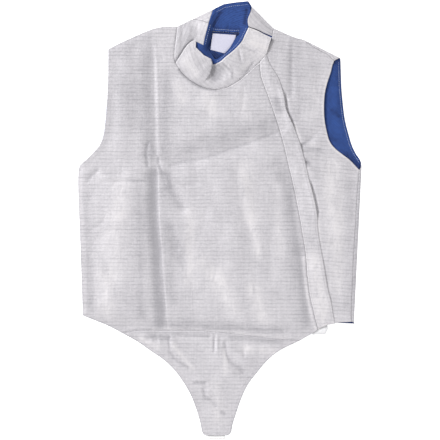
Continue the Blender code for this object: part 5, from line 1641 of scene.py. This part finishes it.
# %% Rows on the silver cloth
SILVER_ROWS = [
    Row(FRONT, Line.armhole_r, 7),
    Row(FRONT, Line.hem_r, 6),
    Row(FRONT, Line.crotch_seam, 2.6),
    Row(FRONT, Line.hem_front[1:-1], 6),
    Row(FRONT, Line.neck_front, -2.6),
    Row(FRONT, Line.neck_side[1:], -2.6),
    Row(FRONT, Line.placket_seam[2:-2], -2.4),
    Row(LEFT_FRONT, Line.armhole_l[1:-1], 7),
    Row(LEFT_FRONT, Line.hem_l[2:-1], 6),
    Row(LEFT_FRONT, Line.side_seam_l[2:-2], 2.4),
    Row(LEFT_FRONT, Line.shoulder_seam_l[2:], 4.5),
    Row(LEFT_FRONT, Line.shoulder_l[:-3], 4.5),
    Row(PLACKET, Line.placket_edge[3:-2], -5),
    Row(PLACKET, Line.placket_seam[3:-3], 2.4),
    Row(PLACKET, Line.hem_placket[2:-2], 5),
    Row(CROTCH, Line.crotch_seam[4:-4], -2.6),
    Row(CROTCH, Line.strap_r[3:-1], 6),
    Row(CROTCH, Line.strap_l[1:-3], 6),
    Row(CROTCH, Line.strap_end[3:-3], 4),
    Row(COLLAR_FRONT, Line.tab_top[1:-2], -3),
    Row(COLLAR_FRONT, Line.tab_end[2:-2], -3),
    Row(COLLAR_FRONT, Line.ridge_l_front[1:-3], 3),
    Row(COLLAR_FRONT, Line.neck_front[4:], 2.6),
    Row(SIDE, Line.neck_side[2:-2], 2.6),
]
stitched("silver_cloth_stitches", SILVER_ROWS, grey_thread)

# %% Rows on the blue lining
BACK_NECK_ROW = smooth_curve([(-11, 343), (14, 341.6), (33, 340.4)], SHORT)
LINING_ROWS = [
    Row(LINING_RING, cornered(LINING_TOP[:4], SHORT)[1:-1], -4.5),
    Row(LINING_RING, BACK_NECK_ROW, 0),
    Row(LINING_RING, Line.ridge_l_front[2:-5], -3.4),
    Row(LINING_RING, Line.ridge_r_side[2:-2], 3.4),
    Row(BACK_LINING, Line.back_armhole_l[2:-2], 4),
]
stitched("lining_stitches", LINING_ROWS, blue_thread)

# %% [markdown]
# ## Table, light and camera
# The vest lies on a plain pale table and is seen from straight above. One large soft light stands
# up and to the left, so that every ridge is bright on its left and every lifted edge has its
# shadow on the right. A weak one fills from the other side, and a pale world keeps the shadows
# open. The table glows a little, as a light table does, so it comes out white and shadowless.

# %% Table top
FLOOR_DROP = 0.4
FLOOR_SIZE = 3.0


def light_table():
    """A studio light table: matt white acrylic, lit from below so that no shadow shows on it."""
    material, tree, surface = blank_material("matt_white_acrylic")
    place = add(tree, "ShaderNodeTexCoord")
    tooth = add(tree, "ShaderNodeTexNoise", {
        "Vector": place.outputs["Object"], "Scale": 900.0, "Detail": 2.0})
    bump = add(tree, "ShaderNodeBump", {"Height": tooth.outputs["Fac"], "Strength": 0.2, "Distance": 0.0001})
    set_inputs(tree, surface, {
        "Base Color": linear("F5F5F5"), "Normal": bump.outputs["Normal"], "Roughness": 0.95,
        "Specular IOR Level": 0.2, "Emission Color": linear("FFFFFF"), "Emission Strength": 0.6})
    return material


half, level = FLOOR_SIZE / 2, -FLOOR_DROP * MM
paper = bpy.data.meshes.new("floor")
paper.from_pydata([(-half, -half, level), (half, -half, level), (half, half, level), (-half, half, level)],
                  [], [(0, 1, 2, 3)])
paper.materials.append(light_table())
floor = bpy.data.objects.new("floor", paper)
bpy.context.scene.collection.objects.link(floor)

# %% Lights and world
def soft_light(name, place, size, power):
    """A square softbox that faces the middle of the vest."""
    lamp = bpy.data.lights.new(name, "AREA")
    lamp.size = size
    lamp.energy = power
    light = bpy.data.objects.new(name, lamp)
    light.location = place
    light.rotation_euler = (-Vector(place)).to_track_quat("-Z", "Y").to_euler()
    bpy.context.scene.collection.objects.link(light)


soft_light("key_softbox", place=(-4.6, 2.9, 4.1), size=2.4, power=500)
soft_light("fill_softbox", place=(1.4, -2.0, 2.6), size=1.6, power=40)
world = bpy.data.worlds.new("pale_studio")
world.use_nodes = True
set_inputs(world.node_tree, world.node_tree.nodes["Background"], {"Color": (1, 1, 1, 1), "Strength": 0.48})
bpy.context.scene.world = world
bpy.context.scene.view_settings.view_transform = "Standard"

# %% Camera
PHOTO_WIDTH = 440
MM_PER_PIXEL = 1.8
PHOTO_MIDDLE_PX = (219.9, 220.0)
LENS = 100.0
SENSOR = 36.0
shown_width = PHOTO_WIDTH * MM_PER_PIXEL * MM
camera = bpy.data.objects.new("camera", bpy.data.cameras.new("camera"))
camera.data.lens = LENS
camera.data.sensor_width = SENSOR
camera.location = ((PHOTO_WIDTH / 2 - PHOTO_MIDDLE_PX[0]) * MM_PER_PIXEL * MM,
                   (PHOTO_MIDDLE_PX[1] - PHOTO_WIDTH / 2) * MM_PER_PIXEL * MM, shown_width * LENS / SENSOR)
bpy.context.scene.collection.objects.link(camera)
bpy.context.scene.camera = camera
print("camera height:", round(camera.location.z, 3), "m")
